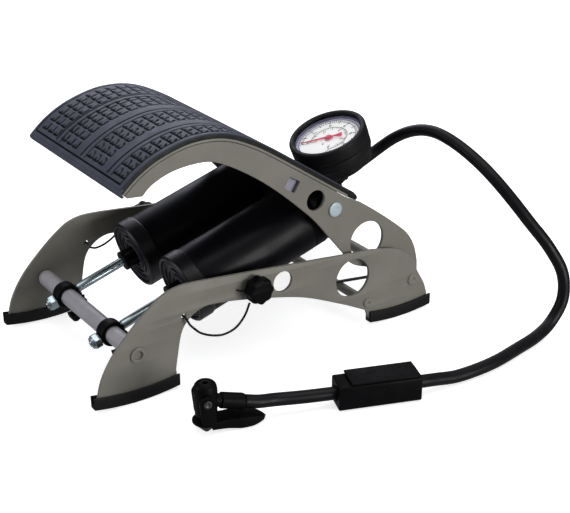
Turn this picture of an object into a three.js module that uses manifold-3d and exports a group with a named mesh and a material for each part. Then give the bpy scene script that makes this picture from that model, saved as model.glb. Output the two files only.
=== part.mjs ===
// Twin-barrel foot air pump: sheet-steel base and pedal, two piston barrels, pressure gauge,
// hose with an adapter box, and a thumb-lever valve head. Millimetres, +Z up, -Y is the toe end.
import * as THREE from "three";
import { mergeVertices } from "three/addons/utils/BufferGeometryUtils.js";
import Module from "manifold-3d";

const wasm = await Module();
wasm.setup();

// ---- driving dimensions -------------------------------------------------------------------
const GAP = 0.3; // kept between pieces that touch
const SHEET = 2.5; // steel sheet of the base and pedal plates
const BASE_HALF = 75; // to the outer face of a base plate
const PEDAL_HALF = 68.5; // to the outer face of a pedal plate

// Axes that run across the pump, as [y, z].
const PIVOT = [124.4, 26.8]; // pedal on base
const STOP_BAR = [82.3, 19];
const FRONT_TUBE = [-108.3, 34.1]; // the rods hang on it
const CYLINDER_PIN = [56.2, 97.7]; // pedal on the barrels' head
const LOCK = [-17.3, 60]; // locking pins
const LATCH_HOLE = [19.9, 124]; // pedal hole that the locking pins enter when it is folded
const TETHER_HOLE = [-72.6, 52.6];

const FRONT_TUBE_R = 6.2;
const PIVOT_R = 4;
const STOP_BAR_R = 3.5;
const PIN_R = 3.6;
const OPEN_PIVOT_R = 8.2; // the head's hole for the cylinder pin

// Barrel frame: origin on the front tube's axis, +Y along the rods, tilted up by this much.
const BARREL_TILT = THREE.MathUtils.degToRad(17.2);
const BARREL_X = 35.3; // half the spacing of the two barrels
const BARREL_R = 25.1;
const BARREL_WALL = 2.2;
const CAP_R = 26.1;
const CAP_FRONT = 57.4; // stations along the rod axis
const CAP_REAR = 70;
const BARREL_FRONT = 63;
const BARREL_REAR = 160;
const HEAD_REAR = 176;
const GLAND_FRONT = 48.8;
const ROD_FRONT = -16.5;
const ROD_REAR = 122;
const ROD_R = 3.4;
const ROD_NECK_R = 2.5;
const SADDLE_R = 9;
const PISTON_FRONT = 108;

// Gauge frame: origin at the middle of the bezel's front, +Z out of the dial.
const GAUGE_AT = [0, 97.6, 127.9];
const GAUGE_TILT = THREE.MathUtils.degToRad(22);
const GAUGE_R = 30.3;
const WINDOW_R = 25.7;
const GAUGE_DEPTH = 28;
const BEZEL_DEPTH = 11.5;
const NEEDLE_ANGLE = THREE.MathUtils.degToRad(229.5);

const FOOT_ARC_R = 180; // rocker curve under each foot
const FOOT_HEIGHT = 9;
const FOOT_SOLE = 2.7; // rubber under the plate's edge
const FRONT_FOOT = { centre: -107, from: -142.7, to: -78 };
const REAR_FOOT = { centre: 113, from: 84, to: 141.8 };

const HOSE_R = 4.5;
const TETHER_R = 0.8;

// Box and valve head stand on the floor beside the pump, turned about Z.
const BOX_AT = [164.7, 22.5, 9.7];
const BOX_TURN = THREE.MathUtils.degToRad(-19.7);
const BOX_LENGTH = 57.5;
const BOX_WIDTH = 19.6;
const BOX_HEIGHT = 18.4;
const VALVE_AT = [133, -91, 0];
const VALVE_TURN = THREE.MathUtils.degToRad(-14);
const VALVE_R = 7.8;
const LEVER_PIN = [-1.5, 25]; // across the head, as [y, z] in its frame
const INLET_Z = 23;
const INLET_SLOPE = THREE.MathUtils.degToRad(-14);

// ---- materials ----------------------------------------------------------------------------
const finish = (color, roughness, metalness = 0) =>
  new THREE.MeshStandardMaterial({ color, roughness, metalness });
const MATERIALS = {
  paint: () => finish(0x77756d, 0.55, 0.3),
  tubePaint: () => finish(0x8f8b90, 0.5, 0.3),
  zinc: () => finish(0xb9c2c6, 0.3, 0.9),
  plastic: () => finish(0x0e0e10, 0.45),
  rubber: () => finish(0x121214, 0.7),
  treadRubber: () => finish(0x50525f, 0.75),
  enamel: () => finish(0x0b0b0d, 0.3, 0.2),
  dial: () => finish(0xf4f2ee, 0.5),
  needle: () => finish(0xd8304a, 0.4),
  glass: () => finish(0xffffff, 0.05),
  springSteel: () => finish(0x3a3a3c, 0.4, 0.8),
};

// ---- geometry helpers ---------------------------------------------------------------------
function solid(geometry) {
  const bare = geometry.index ? geometry.toNonIndexed() : geometry.clone();
  bare.deleteAttribute("normal");
  bare.deleteAttribute("uv");
  const merged = mergeVertices(bare, 1e-4);
  return new wasm.Manifold(
    new wasm.Mesh({
      numProp: 3,
      vertProperties: merged.attributes.position.array,
      triVerts: new Uint32Array(merged.index.array),
    }),
  );
}

function geometryOf(manifold) {
  const mesh = manifold.getMesh();
  const geometry = new THREE.BufferGeometry();
  geometry.setAttribute("position", new THREE.BufferAttribute(mesh.vertProperties, 3));
  geometry.setIndex(new THREE.BufferAttribute(mesh.triVerts, 1));
  return geometry.toNonIndexed();
}

function cut(geometry, ...tools) {
  const rest = tools.reduce((body, tool) => body.subtract(solid(tool)), solid(geometry));
  return geometryOf(rest);
}

function join(...pieces) {
  return geometryOf(pieces.map(solid).reduce((whole, piece) => whole.add(piece)));
}

// A profile of [radius, station] turned about an axis through `origin` along `axis`.
function turned(profile, axis = "z", origin = [0, 0, 0], segments = 24) {
  const geometry = new THREE.LatheGeometry(
    profile.map(([radius, station]) => new THREE.Vector2(radius, station)),
    segments,
  );
  if (axis === "z") geometry.rotateX(Math.PI / 2);
  if (axis === "x") geometry.rotateZ(-Math.PI / 2);
  return geometry.translate(...origin);
}

const rod = (radius, from, to, axis, origin, segments) =>
  turned([[0, from], [radius, from], [radius, to], [0, to]], axis, origin, segments);

const ring = (inner, outer, from, to, axis, origin, segments) =>
  turned(
    [[inner, from], [outer, from], [outer, to], [inner, to], [inner, from]],
    axis,
    origin,
    segments,
  );

function block(x, y, z) {
  const geometry = new THREE.BoxGeometry(x[1] - x[0], y[1] - y[0], z[1] - z[0]);
  return geometry.translate((x[0] + x[1]) / 2, (y[0] + y[1]) / 2, (z[0] + z[1]) / 2);
}

const vectors = (points) => points.map(([a, b]) => new THREE.Vector2(a, b));

// A side view of [y, z] points and round holes [y, z, radius], extruded from x0 to x1.
function sheetAcross(outline, x0, x1, holes = []) {
  const shape = new THREE.Shape(vectors(outline));
  for (const [y, z, radius] of holes) {
    shape.holes.push(new THREE.Path().absarc(y, z, radius, 0, Math.PI * 2));
  }
  const geometry = new THREE.ExtrudeGeometry(shape, {
    depth: x1 - x0,
    bevelEnabled: false,
    curveSegments: 10,
  });
  const sideways = new THREE.Matrix4().makeBasis(
    new THREE.Vector3(0, 1, 0),
    new THREE.Vector3(0, 0, 1),
    new THREE.Vector3(1, 0, 0),
  );
  return geometry.applyMatrix4(sideways).translate(x0, 0, 0);
}

// A plan view of [x, y] points, extruded from z0 to z1.
function slabUp(outline, z0, z1) {
  const shape = new THREE.Shape(vectors(outline));
  return new THREE.ExtrudeGeometry(shape, { depth: z1 - z0, bevelEnabled: false }).translate(
    0,
    0,
    z0,
  );
}

const smooth = (points, steps) =>
  new THREE.SplineCurve(vectors(points)).getSpacedPoints(steps).map((p) => [p.x, p.y]);

function arc(centre, radius, from, to, steps) {
  return Array.from({ length: steps + 1 }, (_, i) => {
    const angle = THREE.MathUtils.degToRad(from + ((to - from) * i) / steps);
    return [centre[0] + radius * Math.cos(angle), centre[1] + radius * Math.sin(angle)];
  });
}

function tube(points, radius, sides, steps) {
  const path = new THREE.CatmullRomCurve3(points.map((p) => new THREE.Vector3(...p)));
  const section = new THREE.Shape(
    Array.from({ length: sides }, (_, i) => {
      const angle = (i / sides) * Math.PI * 2;
      return new THREE.Vector2(radius * Math.cos(angle), radius * Math.sin(angle));
    }),
  );
  return new THREE.ExtrudeGeometry(section, { steps, extrudePath: path, bevelEnabled: false });
}

const pump = new THREE.Group();

function add(name, geometry, material, parent = pump) {
  const mesh = new THREE.Mesh(geometry, MATERIALS[material]());
  mesh.name = name;
  parent.add(mesh);
  return mesh;
}

const SIDES = [
  ["left", -1],
  ["right", 1],
];

// A span of x for one side, given as distances from the middle plane.
const across = (sign, inner, outer) => (sign > 0 ? [inner, outer] : [-outer, -inner]);

// ---- base ---------------------------------------------------------------------------------
// Height of the rocker curve, `lift` above the floor side, under a foot centred at `centre`.
const footHeight = (centre, y, lift) =>
  FOOT_ARC_R - Math.sqrt((FOOT_ARC_R - lift) ** 2 - (y - centre) ** 2);

function footArc(foot, from, to, lift, steps) {
  return Array.from({ length: steps + 1 }, (_, i) => {
    const y = from + ((to - from) * i) / steps;
    return [y, footHeight(foot.centre, y, lift)];
  });
}

function basePlateOutline() {
  const sole = FOOT_SOLE + GAP;
  const frontEdge = [[-139.3, 10], [-134.8, 24.3], [-124.3, 40.5], [-106.3, 58.3]];
  const shoulder = [[-92, 69.4], [-84, 73.4], [-74, 75.4], [-59, 74.9]];
  const rearEdge = [[85.5, 60.9], [103.3, 57.4], [115.5, 52], [124.5, 43.6]];
  const heel = [[129.4, 33], [136.1, 21.2], [139.2, 12]];
  const arch = [[81.4, 12.8], [57.2, 25], [21.9, 40.2], [-22.1, 50.9], [-48.1, 55]];
  const leg = [[-58.5, 54.6], [-68, 49.6], [-74.6, 40.5], [-78.7, 21.4], [-80.2, 12]];
  return [
    ...smooth([...frontEdge, ...shoulder], 16),
    ...smooth([...rearEdge, ...heel], 12),
    ...footArc(REAR_FOOT, 139.4, 84, sole, 6),
    ...smooth([...arch, ...leg], 22),
    ...footArc(FRONT_FOOT, -80.8, -139, sole, 6),
  ];
}

function addBase() {
  const holes = [
    [...FRONT_TUBE, 4.9],
    [...PIVOT, 3.3],
    [...STOP_BAR, 2.9],
    [7.4, 56.5, 7.7],
    [68.5, 42.8, 14.8],
    [...LOCK, 3],
    [...TETHER_HOLE, 1.8],
  ];
  for (const [side, sign] of SIDES) {
    const [x0, x1] = across(sign, BASE_HALF - SHEET, BASE_HALF);
    add("base_plate_" + side, sheetAcross(basePlateOutline(), x0, x1, holes), "paint");
    addFootPad("foot_pad_front_" + side, FRONT_FOOT, sign);
    addFootPad("foot_pad_rear_" + side, REAR_FOOT, sign);
    const spacer = across(sign, PEDAL_HALF + GAP, BASE_HALF - SHEET - GAP);
    add("pivot_spacer_" + side, ring(4.3, 8, ...spacer, "x", [0, ...PIVOT], 24), "plastic");
    add("return_spring_" + side, returnSpring(sign), "springSteel");
  }
  add("front_cross_tube", frontTube(), "tubePaint");
  add("pivot_axle", rivetedBar(PIVOT_R, 3, 4.4, PIVOT), "zinc");
  add("lower_cross_bar", rivetedBar(STOP_BAR_R, 2.6, 3.8, STOP_BAR), "zinc");
}

// Rubber channel that grips the foot's lower edge. Its sole is flat for a short stretch.
function addFootPad(name, foot, sign) {
  const flat = 6;
  const sole = [-35.7, -29, -22, -14, -flat, flat, 14, 22, 29.5]
    .map((dy) => foot.centre + dy)
    .filter((y) => y > foot.from && y < foot.to);
  const height = (y) => (Math.abs(y - foot.centre) <= flat ? 0 : footHeight(foot.centre, y, 0));
  const bottom = [foot.from, ...sole, foot.to].map((y) => [y, height(y)]);
  const top = footArc(foot, foot.to, foot.from, FOOT_HEIGHT, 6);
  const [x0, x1] = across(sign, BASE_HALF - SHEET - 1.8, BASE_HALF + 1.8);
  const slot = across(sign, BASE_HALF - SHEET - GAP, BASE_HALF + GAP);
  const slotFloor = footArc(foot, foot.from - 1, foot.to + 1, FOOT_SOLE, 8);
  const slotOutline = [...slotFloor, [foot.to + 1, 40], [foot.from - 1, 40]];
  const pad = sheetAcross([...bottom, ...top], x0, x1);
  add(name, cut(pad, sheetAcross(slotOutline, ...slot)), "rubber");
}

// A bar with necks through both base plates and upset heads outside them.
function rivetedBar(radius, neck, head, [y, z]) {
  const half = [
    [radius, BASE_HALF - SHEET - GAP],
    [neck, BASE_HALF - SHEET - GAP],
    [neck, BASE_HALF + GAP],
    [head, BASE_HALF + GAP],
    [head - 0.5, BASE_HALF + 1.3],
    [head * 0.45, BASE_HALF + 1.3],
    [head * 0.3, BASE_HALF + 0.6],
    [0, BASE_HALF + 0.6],
  ];
  const mirrored = half.map(([r, x]) => [r, -x]).reverse();
  return turned([...mirrored, ...half], "x", [0, y, z], 16);
}

// The front tube: swaged through the plates, with cross holes that let the rods swing.
function frontTube() {
  const inside = BASE_HALF - SHEET - GAP;
  const half = [
    [FRONT_TUBE_R, inside - 3],
    [5.2, inside],
    [4.6, inside],
    [4.6, BASE_HALF + GAP],
    [5.6, BASE_HALF + GAP],
    [5.6, BASE_HALF + 1.2],
    [3.4, BASE_HALF + 1.2],
    [3, BASE_HALF - 0.8],
    [0, BASE_HALF - 0.8],
  ];
  const mirrored = half.map(([r, x]) => [r, -x]).reverse();
  const bar = turned([...mirrored, ...half], "x", [0, ...FRONT_TUBE], 28);
  const bores = [];
  for (const [, sign] of SIDES) {
    for (const degrees of [3, 10, 17.5]) {
      const bore = rod(ROD_NECK_R + 0.5, -12, 12, "y", [0, 0, 0], 12);
      bore.rotateX(THREE.MathUtils.degToRad(degrees));
      bores.push(bore.translate(sign * BARREL_X, ...FRONT_TUBE));
    }
  }
  return cut(bar, ...bores);
}

// Torsion spring on the pivot axle: its long leg rests on the lower cross bar.
function returnSpring(sign) {
  const coilR = 6.6;
  const wire = 1.2;
  const pitch = 3.4;
  const turns = 3;
  const perTurn = 8;
  const start = 43;
  const points = [[sign * start, 74, 24.9], [sign * start, STOP_BAR[0], 24.1]];
  for (let i = 0; i <= turns * perTurn; i += 1) {
    const angle = (i / perTurn) * Math.PI * 2 - Math.PI / 2;
    points.push([
      sign * (start + (pitch * i) / perTurn),
      PIVOT[0] + coilR * Math.cos(angle),
      PIVOT[1] + coilR * Math.sin(angle),
    ]);
  }
  points.push([sign * (start + pitch * turns), PIVOT[0] - 16, PIVOT[1] - 4]);
  return tube(points, wire, 6, 64);
}

// ---- pedal --------------------------------------------------------------------------------
const DECK_REAR = 68;
const DECK_SHEET = 1.8;
const DECK_LINE = [
  [-109, 146.2],
  [-96.4, 156.4],
  [-79, 165],
  [-55.5, 170.3],
  [-31.2, 167.9],
  [-6.6, 156.6],
  [22.6, 137.3],
  [44, 122.6],
  [DECK_REAR, 106],
];

// The pad is rolled over the deck's rear edge on both sides of the gauge.
const PAD_NOSE = [
  [69, 109.3],
  [70.2, 108.95],
  [73.2, 106.7],
  [75.5, 104],
  [76.1, 102.2],
  [75.6, 100.9],
  [74.6, 100.7],
  [68.6, 104.2],
  [68.6, 105.9],
  [67.8, 107.2],
].reverse();

// The pad is also rolled over the front edge: [along the line, out from it] from its first point.
const PAD_LIP = [
  [1, 3.6],
  [-1.2, 3.2],
  [-2.3, 1.8],
  [-2.5, 0],
  [-2.2, -1.8],
  [-1.2, -2.4],
  [-0.3, -2],
  [-0.3, 0.3],
  [1, 0.3],
].reverse();

// The deck's line moved `offset` square to itself, outwards when positive.
function deckOffset(offset, steps = 20) {
  const curve = new THREE.SplineCurve(vectors(DECK_LINE));
  return Array.from({ length: steps + 1 }, (_, i) => {
    const point = curve.getPointAt(i / steps);
    const tangent = curve.getTangentAt(i / steps);
    return [point.x - tangent.y * offset, point.y + tangent.x * offset];
  });
}

// Points given along and out from the deck's front edge, as [y, z].
function deckPoints(points) {
  const curve = new THREE.SplineCurve(vectors(DECK_LINE));
  const start = curve.getPointAt(0);
  const tangent = curve.getTangentAt(0);
  return points.map(([along, out]) => [
    start.x + tangent.x * along - tangent.y * out,
    start.y + tangent.y * along + tangent.x * out,
  ]);
}

function deckStrip(low, high, half) {
  const outline = [...deckOffset(high), ...deckOffset(low).reverse()];
  return sheetAcross(outline, -half, half);
}

function pedalPlateOutline() {
  const under = [[-95, 141.8], [-87.7, 148], [-73.5, 153.6], [-55.7, 155.5], [-40.3, 153.2]];
  const throat = [[-19.5, 142.1], [5, 124.3], [35.1, 96.8], [50.3, 78.8], [64.2, 61.5]];
  const heel = [[70.6, 52.6], [76.5, 48.4], [86.5, 44.6]];
  const back = [[80, 97.4], [95.6, 86.2], [113.8, 71.8], [124, 62.2], [130.6, 51], [134, 38]];
  return [
    [-105.8, 142.8],
    ...smooth([...under, ...throat, ...heel], 34),
    ...arc(PIVOT, 10, 232, 360, 8),
    ...smooth(back, 12).reverse(),
    ...deckOffset(-DECK_SHEET - GAP).reverse(),
  ];
}

function addPedal() {
  const latch = new THREE.BoxGeometry(20, 10, 9);
  latch.rotateX(THREE.MathUtils.degToRad(-32)).translate(0, ...LATCH_HOLE);
  const holes = [
    [39.9, 108, 7.6],
    [...CYLINDER_PIN, PIN_R + GAP],
    [85.6, 66.3, 14.8],
    [...PIVOT, PIVOT_R + GAP],
  ];
  for (const [side, sign] of SIDES) {
    const [x0, x1] = across(sign, PEDAL_HALF - SHEET, PEDAL_HALF);
    const plate = sheetAcross(pedalPlateOutline(), x0, x1, holes);
    const square = latch.clone().translate((x0 + x1) / 2, 0, 0);
    add("pedal_side_plate_" + side, cut(plate, square), "paint");
  }
  add("pedal_top_plate", deckStrip(-DECK_SHEET, 0, PEDAL_HALF), "paint");
  const noses = SIDES.map(([, sign]) => sheetAcross(PAD_NOSE, ...across(sign, 24, PEDAL_HALF)));
  const lip = sheetAcross(deckPoints(PAD_LIP), -PEDAL_HALF, PEDAL_HALF);
  add("pedal_pad", join(deckStrip(GAP, 3.6, PEDAL_HALF), lip, ...noses), "treadRubber");
  const head = [
    [PIN_R, PEDAL_HALF + GAP],
    [5.4, PEDAL_HALF + GAP],
    [5.4, PEDAL_HALF + 1.2],
    [5, PEDAL_HALF + 1.6],
    [0, PEDAL_HALF + 1.6],
  ];
  const otherHead = head.map(([r, x]) => [r, -x]).reverse();
  const pin = turned([...otherHead, ...head], "x", [0, ...CYLINDER_PIN], 24);
  add("cylinder_pin", pin, "zinc");
}

// ---- rods and barrels, in the barrel frame ---------------------------------------------------
const barrelFrame = new THREE.Group();
barrelFrame.position.set(0, ...FRONT_TUBE);
barrelFrame.rotation.x = BARREL_TILT;
pump.add(barrelFrame);

function addRods() {
  const shoulder = SADDLE_R + GAP;
  for (const [side, sign] of SIDES) {
    const at = [sign * BARREL_X, 0, 0];
    const profile = [
      [0, ROD_FRONT],
      [ROD_NECK_R - 0.5, ROD_FRONT],
      [ROD_NECK_R, ROD_FRONT + 0.8],
      [ROD_NECK_R, shoulder],
      [ROD_R, shoulder],
      [ROD_R, PISTON_FRONT - GAP],
      [ROD_NECK_R, PISTON_FRONT - GAP],
      [ROD_NECK_R, ROD_REAR],
      [0, ROD_REAR],
    ];
    add("piston_rod_" + side, turned(profile, "y", at, 16), "zinc", barrelFrame);
    add("rod_nut_" + side, rodNut(at), "zinc", barrelFrame);
    add("rod_saddle_" + side, rodSaddle(at), "plastic", barrelFrame);
    add("piston_" + side, piston(at), "plastic", barrelFrame);
    const sealR = BARREL_R - BARREL_WALL - 0.2;
    const seal = ring(19.6, sealR, 113.2, 117.2, "y", at, 28);
    add("piston_seal_" + side, seal, "rubber", barrelFrame);
  }
}

// Nylon-insert hex nut, 10 mm across its flats, with a round collar on the outer side.
function rodNut(at) {
  const acrossFlats = 10;
  const corner = acrossFlats / Math.sqrt(3);
  const rear = -SADDLE_R - GAP;
  const hexagon = rod(corner, rear - 4.6, rear, "y", [0, 0, 0], 6);
  const collar = rod(4.3, rear - 6.2, rear - 4, "y", [0, 0, 0], 20);
  const bore = rod(ROD_NECK_R + GAP, rear - 10, rear + 4, "y", [0, 0, 0], 16);
  return cut(join(hexagon, collar), bore).translate(...at);
}

// Plastic saddle: an eye round the front tube and a hooked tail that hangs under it.
function rodSaddle(at) {
  const half = 5;
  const eye = ring(FRONT_TUBE_R + GAP, SADDLE_R, -half, half, "x", [0, 0, 0], 28);
  const back = [[4, -6.6], [8.4, -2.6], [10, -3.4], [10.2, -8.2], [12, -10], [7, -17.5]];
  const toe = [[3.4, -20.6], [-1.2, -22], [-4, -20.6], [-4, -15.6], [-0.5, -16.6], [2.8, -14.5]];
  const hook = sheetAcross([...back, ...toe], -4, 5);
  const clearTube = rod(FRONT_TUBE_R + GAP, -20, 20, "x", [0, 0, 0], 28);
  const clearRod = rod(ROD_NECK_R + GAP, -20, SADDLE_R, "y", [0, 0, 0], 16);
  const clearShank = rod(ROD_R + GAP, SADDLE_R, 20, "y", [0, 0, 0], 16);
  return cut(join(eye, hook), clearTube, clearRod, clearShank).translate(...at);
}

function piston(at) {
  const edge = BARREL_R - BARREL_WALL - 0.5;
  const profile = [
    [ROD_NECK_R + GAP, PISTON_FRONT],
    [edge, PISTON_FRONT],
    [edge, 112.9],
    [19.3, 112.9],
    [19.3, 117.5],
    [edge, 117.5],
    [edge, 121],
    [ROD_NECK_R + GAP, 121],
    [ROD_NECK_R + GAP, PISTON_FRONT],
  ];
  return turned(profile, "y", at, 28);
}

function addBarrels() {
  for (const [side, sign] of SIDES) {
    const at = [sign * BARREL_X, 0, 0];
    const wall = BARREL_R - BARREL_WALL;
    const barrel = ring(wall, BARREL_R, BARREL_FRONT, BARREL_REAR, "y", at, 36);
    add("barrel_" + side, barrel, "enamel", barrelFrame);
    add("front_cap_" + side, frontCap(at), "plastic", barrelFrame);
    add("rod_gland_" + side, rodGland(at), "plastic", barrelFrame);
  }
  add("cylinder_head", cylinderHead(), "plastic", barrelFrame);
  add("outlet_manifold", outletManifold(), "plastic", barrelFrame);
  const ball = new THREE.SphereGeometry(3.2, 12, 8).translate(0, 197, MANIFOLD_AXIS);
  add("check_valve_ball", ball, "rubber", barrelFrame);
  add("hose_ferrule", hoseFerrule(), "plastic", barrelFrame);
}

// Cap with a skirt round the barrel's end and ridges round the gland on its face.
function frontCap(at) {
  const bore = 7.3;
  const ridges = [];
  for (const radius of [10.5, 17]) {
    ridges.push([radius, CAP_FRONT + 2.6], [radius + 0.6, CAP_FRONT + 1]);
    ridges.push([radius + 2.4, CAP_FRONT + 1], [radius + 3, CAP_FRONT + 2.6]);
  }
  const profile = [
    [bore, CAP_FRONT + 2.6],
    ...ridges,
    [23.4, CAP_FRONT + 2.6],
    [24, CAP_FRONT],
    [25.2, CAP_FRONT],
    [CAP_R, CAP_FRONT + 1],
    [CAP_R, CAP_REAR],
    [BARREL_R + GAP, CAP_REAR],
    [BARREL_R + GAP, BARREL_FRONT - GAP],
    [bore, BARREL_FRONT - GAP],
    [bore, CAP_FRONT + 2.6],
  ];
  return turned(profile, "y", at, 36);
}

// Guide bush for the rod, with a notched flange.
function rodGland(at) {
  const flange = ring(ROD_R + GAP, 7.6, GLAND_FRONT, GLAND_FRONT + 2, "y", [0, 0, 0], 24);
  const body = ring(ROD_R + GAP, 7, GLAND_FRONT + 1, BARREL_FRONT + 4, "y", [0, 0, 0], 24);
  const notches = [];
  for (let i = 0; i < 6; i += 1) {
    const notch = rod(1.1, GLAND_FRONT - 1, GLAND_FRONT + 1.4, "y", [7.9, 0, 0], 10);
    notches.push(notch.rotateY((i / 6) * Math.PI * 2));
  }
  return cut(join(flange, body), ...notches).translate(...at);
}

const PIN_STATION =
  (CYLINDER_PIN[0] - FRONT_TUBE[0]) * Math.cos(BARREL_TILT) +
  (CYLINDER_PIN[1] - FRONT_TUBE[1]) * Math.sin(BARREL_TILT);
const PIN_HEIGHT =
  (CYLINDER_PIN[1] - FRONT_TUBE[1]) * Math.cos(BARREL_TILT) -
  (CYLINDER_PIN[0] - FRONT_TUBE[0]) * Math.sin(BARREL_TILT);
const LUG_R = 10.8;
const MANIFOLD_AXIS = -10.4;
const MANIFOLD_REAR = 220;

// One casting closes both barrels and carries the lug for the cylinder pin.
function cylinderHead() {
  const cups = SIDES.map(([, sign]) => {
    const profile = [
      [0, 163],
      [20, 163],
      [20, BARREL_REAR + GAP],
      [BARREL_R, BARREL_REAR + GAP],
      [BARREL_R, 171],
      [24.4, 174],
      [22, HEAD_REAR],
      [0, HEAD_REAR],
    ];
    return turned(profile, "y", [sign * BARREL_X, 0, 0], 36);
  });
  const bridge = block([-24, 24], [164, HEAD_REAR - 1], [-14, 14]);
  const lugAt = [0, PIN_STATION, PIN_HEIGHT];
  const lug = rod(LUG_R, -60, 60, "x", lugAt, 32);
  const neck = block([-13, 13], [172, 188], [-16.5, 2]);
  const bore = rod(OPEN_PIVOT_R, -80, 80, "x", lugAt, 32);
  // The top is cut away where the pedal's deck comes down on it.
  const relief = block([-80, 80], [-10, 40], [0, 20]);
  relief.rotateX(THREE.MathUtils.degToRad(-9)).translate(0, 157, 24.2);
  return cut(join(...cups, bridge, lug, neck), bore, relief);
}

function outletManifold() {
  const duct = block([-10, 10], [188.3, MANIFOLD_REAR], [-16.5, -2.2]);
  const chamber = rod(4.6, 192, MANIFOLD_REAR - 5, "y", [0, 0, MANIFOLD_AXIS], 20);
  const inlet = rod(2.6, 180, 194, "y", [0, 0, MANIFOLD_AXIS], 16);
  const outlet = rod(2.6, MANIFOLD_REAR - 8, MANIFOLD_REAR + 2, "y", [0, 0, MANIFOLD_AXIS], 16);
  return cut(duct, chamber, inlet, outlet);
}

// Crimped sleeve where the hose leaves the manifold.
function hoseFerrule() {
  const from = MANIFOLD_REAR + GAP;
  const profile = [
    [2.4, from],
    [7, from],
    [7, from + 4],
    [6.4, from + 5],
    [6.4, from + 9],
    [5.6, from + 10],
    [2.4, from + 10],
    [2.4, from],
  ];
  return turned(profile, "y", [0, 0, MANIFOLD_AXIS], 24);
}

// ---- gauge --------------------------------------------------------------------------------
const gaugeFrame = new THREE.Group();
gaugeFrame.position.set(...GAUGE_AT);
gaugeFrame.rotation.x = GAUGE_TILT;
pump.add(gaugeFrame);

function addGauge() {
  const caseProfile = [
    [0, -GAUGE_DEPTH],
    [26.4, -GAUGE_DEPTH],
    [28.2, -GAUGE_DEPTH + 1.6],
    [28.8, -19.6],
    [29.8, -18.8],
    [30, -BEZEL_DEPTH - 1],
    [29.5, -BEZEL_DEPTH - GAP],
    [28.6, -BEZEL_DEPTH - GAP],
    [28.6, -4.2],
    [26.6, -4.2],
    [26.6, -13],
    [0, -13],
  ];
  add("gauge_case", turned(caseProfile, "z", [0, 0, 0], 40), "plastic", gaugeFrame);
  const bezelProfile = [
    [28.9, -BEZEL_DEPTH],
    [29.9, -BEZEL_DEPTH],
    [GAUGE_R, -BEZEL_DEPTH + 1],
    [GAUGE_R, -1.2],
    [29.4, -0.3],
    [28, 0],
    [26.4, -0.3],
    [WINDOW_R, -1.2],
    [WINDOW_R, -2.4],
    [27.2, -2.4],
    [27.2, -3.9],
    [28.9, -3.9],
    [28.9, -BEZEL_DEPTH],
  ];
  add("gauge_bezel", turned(bezelProfile, "z", [0, 0, 0], 40), "plastic", gaugeFrame);
  add("gauge_lens", rod(26.9, -3.6, -2.7, "z", [0, 0, 0], 40), "glass", gaugeFrame);
  const dial = ring(1.2, 26.2, -7, -6.2, "z", [0, 0, 0], 40);
  add("gauge_dial", dial, "dial", gaugeFrame);
  const pointer = [[22, 0.3], [22, -0.3], [3, -1], [-5, -0.8], [-7, -1.4], [-10.8, -2.5]];
  const otherEdge = [[-10.8, 2.5], [-7, 1.4], [-5, 0.8], [3, 1]];
  const blade = slabUp([...pointer, ...otherEdge].reverse(), -4.9, -4.4);
  const hub = rod(2.4, -5.3, -4.1, "z", [0, 0, 0], 20);
  const staff = rod(0.8, -12.6, -5, "z", [0, 0, 0], 12);
  const needle = join(blade, hub, staff).rotateZ(NEEDLE_ANGLE);
  add("gauge_needle", needle, "needle", gaugeFrame);
}

// ---- locking pins and their tethers ---------------------------------------------------------
function addLocks() {
  for (const [side, sign] of SIDES) {
    const inner = PEDAL_HALF + 0.9;
    const face = BASE_HALF + 0.6;
    const lobes = Array.from({ length: 40 }, (_, i) => {
      const angle = (i / 40) * Math.PI * 2;
      const radius = 9.4 + 0.5 * Math.cos(8 * angle);
      return [LOCK[0] + radius * Math.cos(angle), LOCK[1] + radius * Math.sin(angle)];
    });
    const knob = sheetAcross(lobes, ...across(sign, face + 1.5, face + 12));
    const collar = rod(6.5, ...across(sign, face, face + 2), "x", [0, ...LOCK], 24);
    const shank = rod(2.6, ...across(sign, inner, face + 1), "x", [0, ...LOCK], 16);
    add("lock_pin_" + side, join(knob, collar, shank), "plastic");
    add("tether_" + side, tube(tetherRoute(side, sign), TETHER_R, 8, 40), "rubber");
  }
}

// Each tether hangs from under its knob, then curls round into the hole in the leg.
const TETHER_LOOPS = {
  right: [
    [79.2, -23, 50.4],
    [79.3, -27.4, 41.7],
    [79.4, -34.6, 34.9],
    [79.4, -44, 32.5],
    [79.3, -53.1, 34.2],
    [79, -62.1, 38.6],
  ],
  left: [
    [79.2, -23, 50.4],
    [79.4, -32, 53.4],
    [79.4, -42, 51.6],
    [79.4, -50, 46.8],
    [79.3, -56.5, 44.2],
    [79, -63, 43.6],
  ],
};
const TETHER_CURL = [
  [78.2, -69.6, 45.4],
  [77.4, -74, 49.6],
  [77, -75.6, 52.6],
  [76.8, -74.2, 55],
  [76.2, -72.2, 54.6],
  [75, -72.4, 53],
  [73.8, -72.6, 52.6],
  [71, -72.6, 52.6],
];

function tetherRoute(side, sign) {
  return [...TETHER_LOOPS[side], ...TETHER_CURL].map(([x, y, z]) => [sign * x, y, z]);
}

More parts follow.
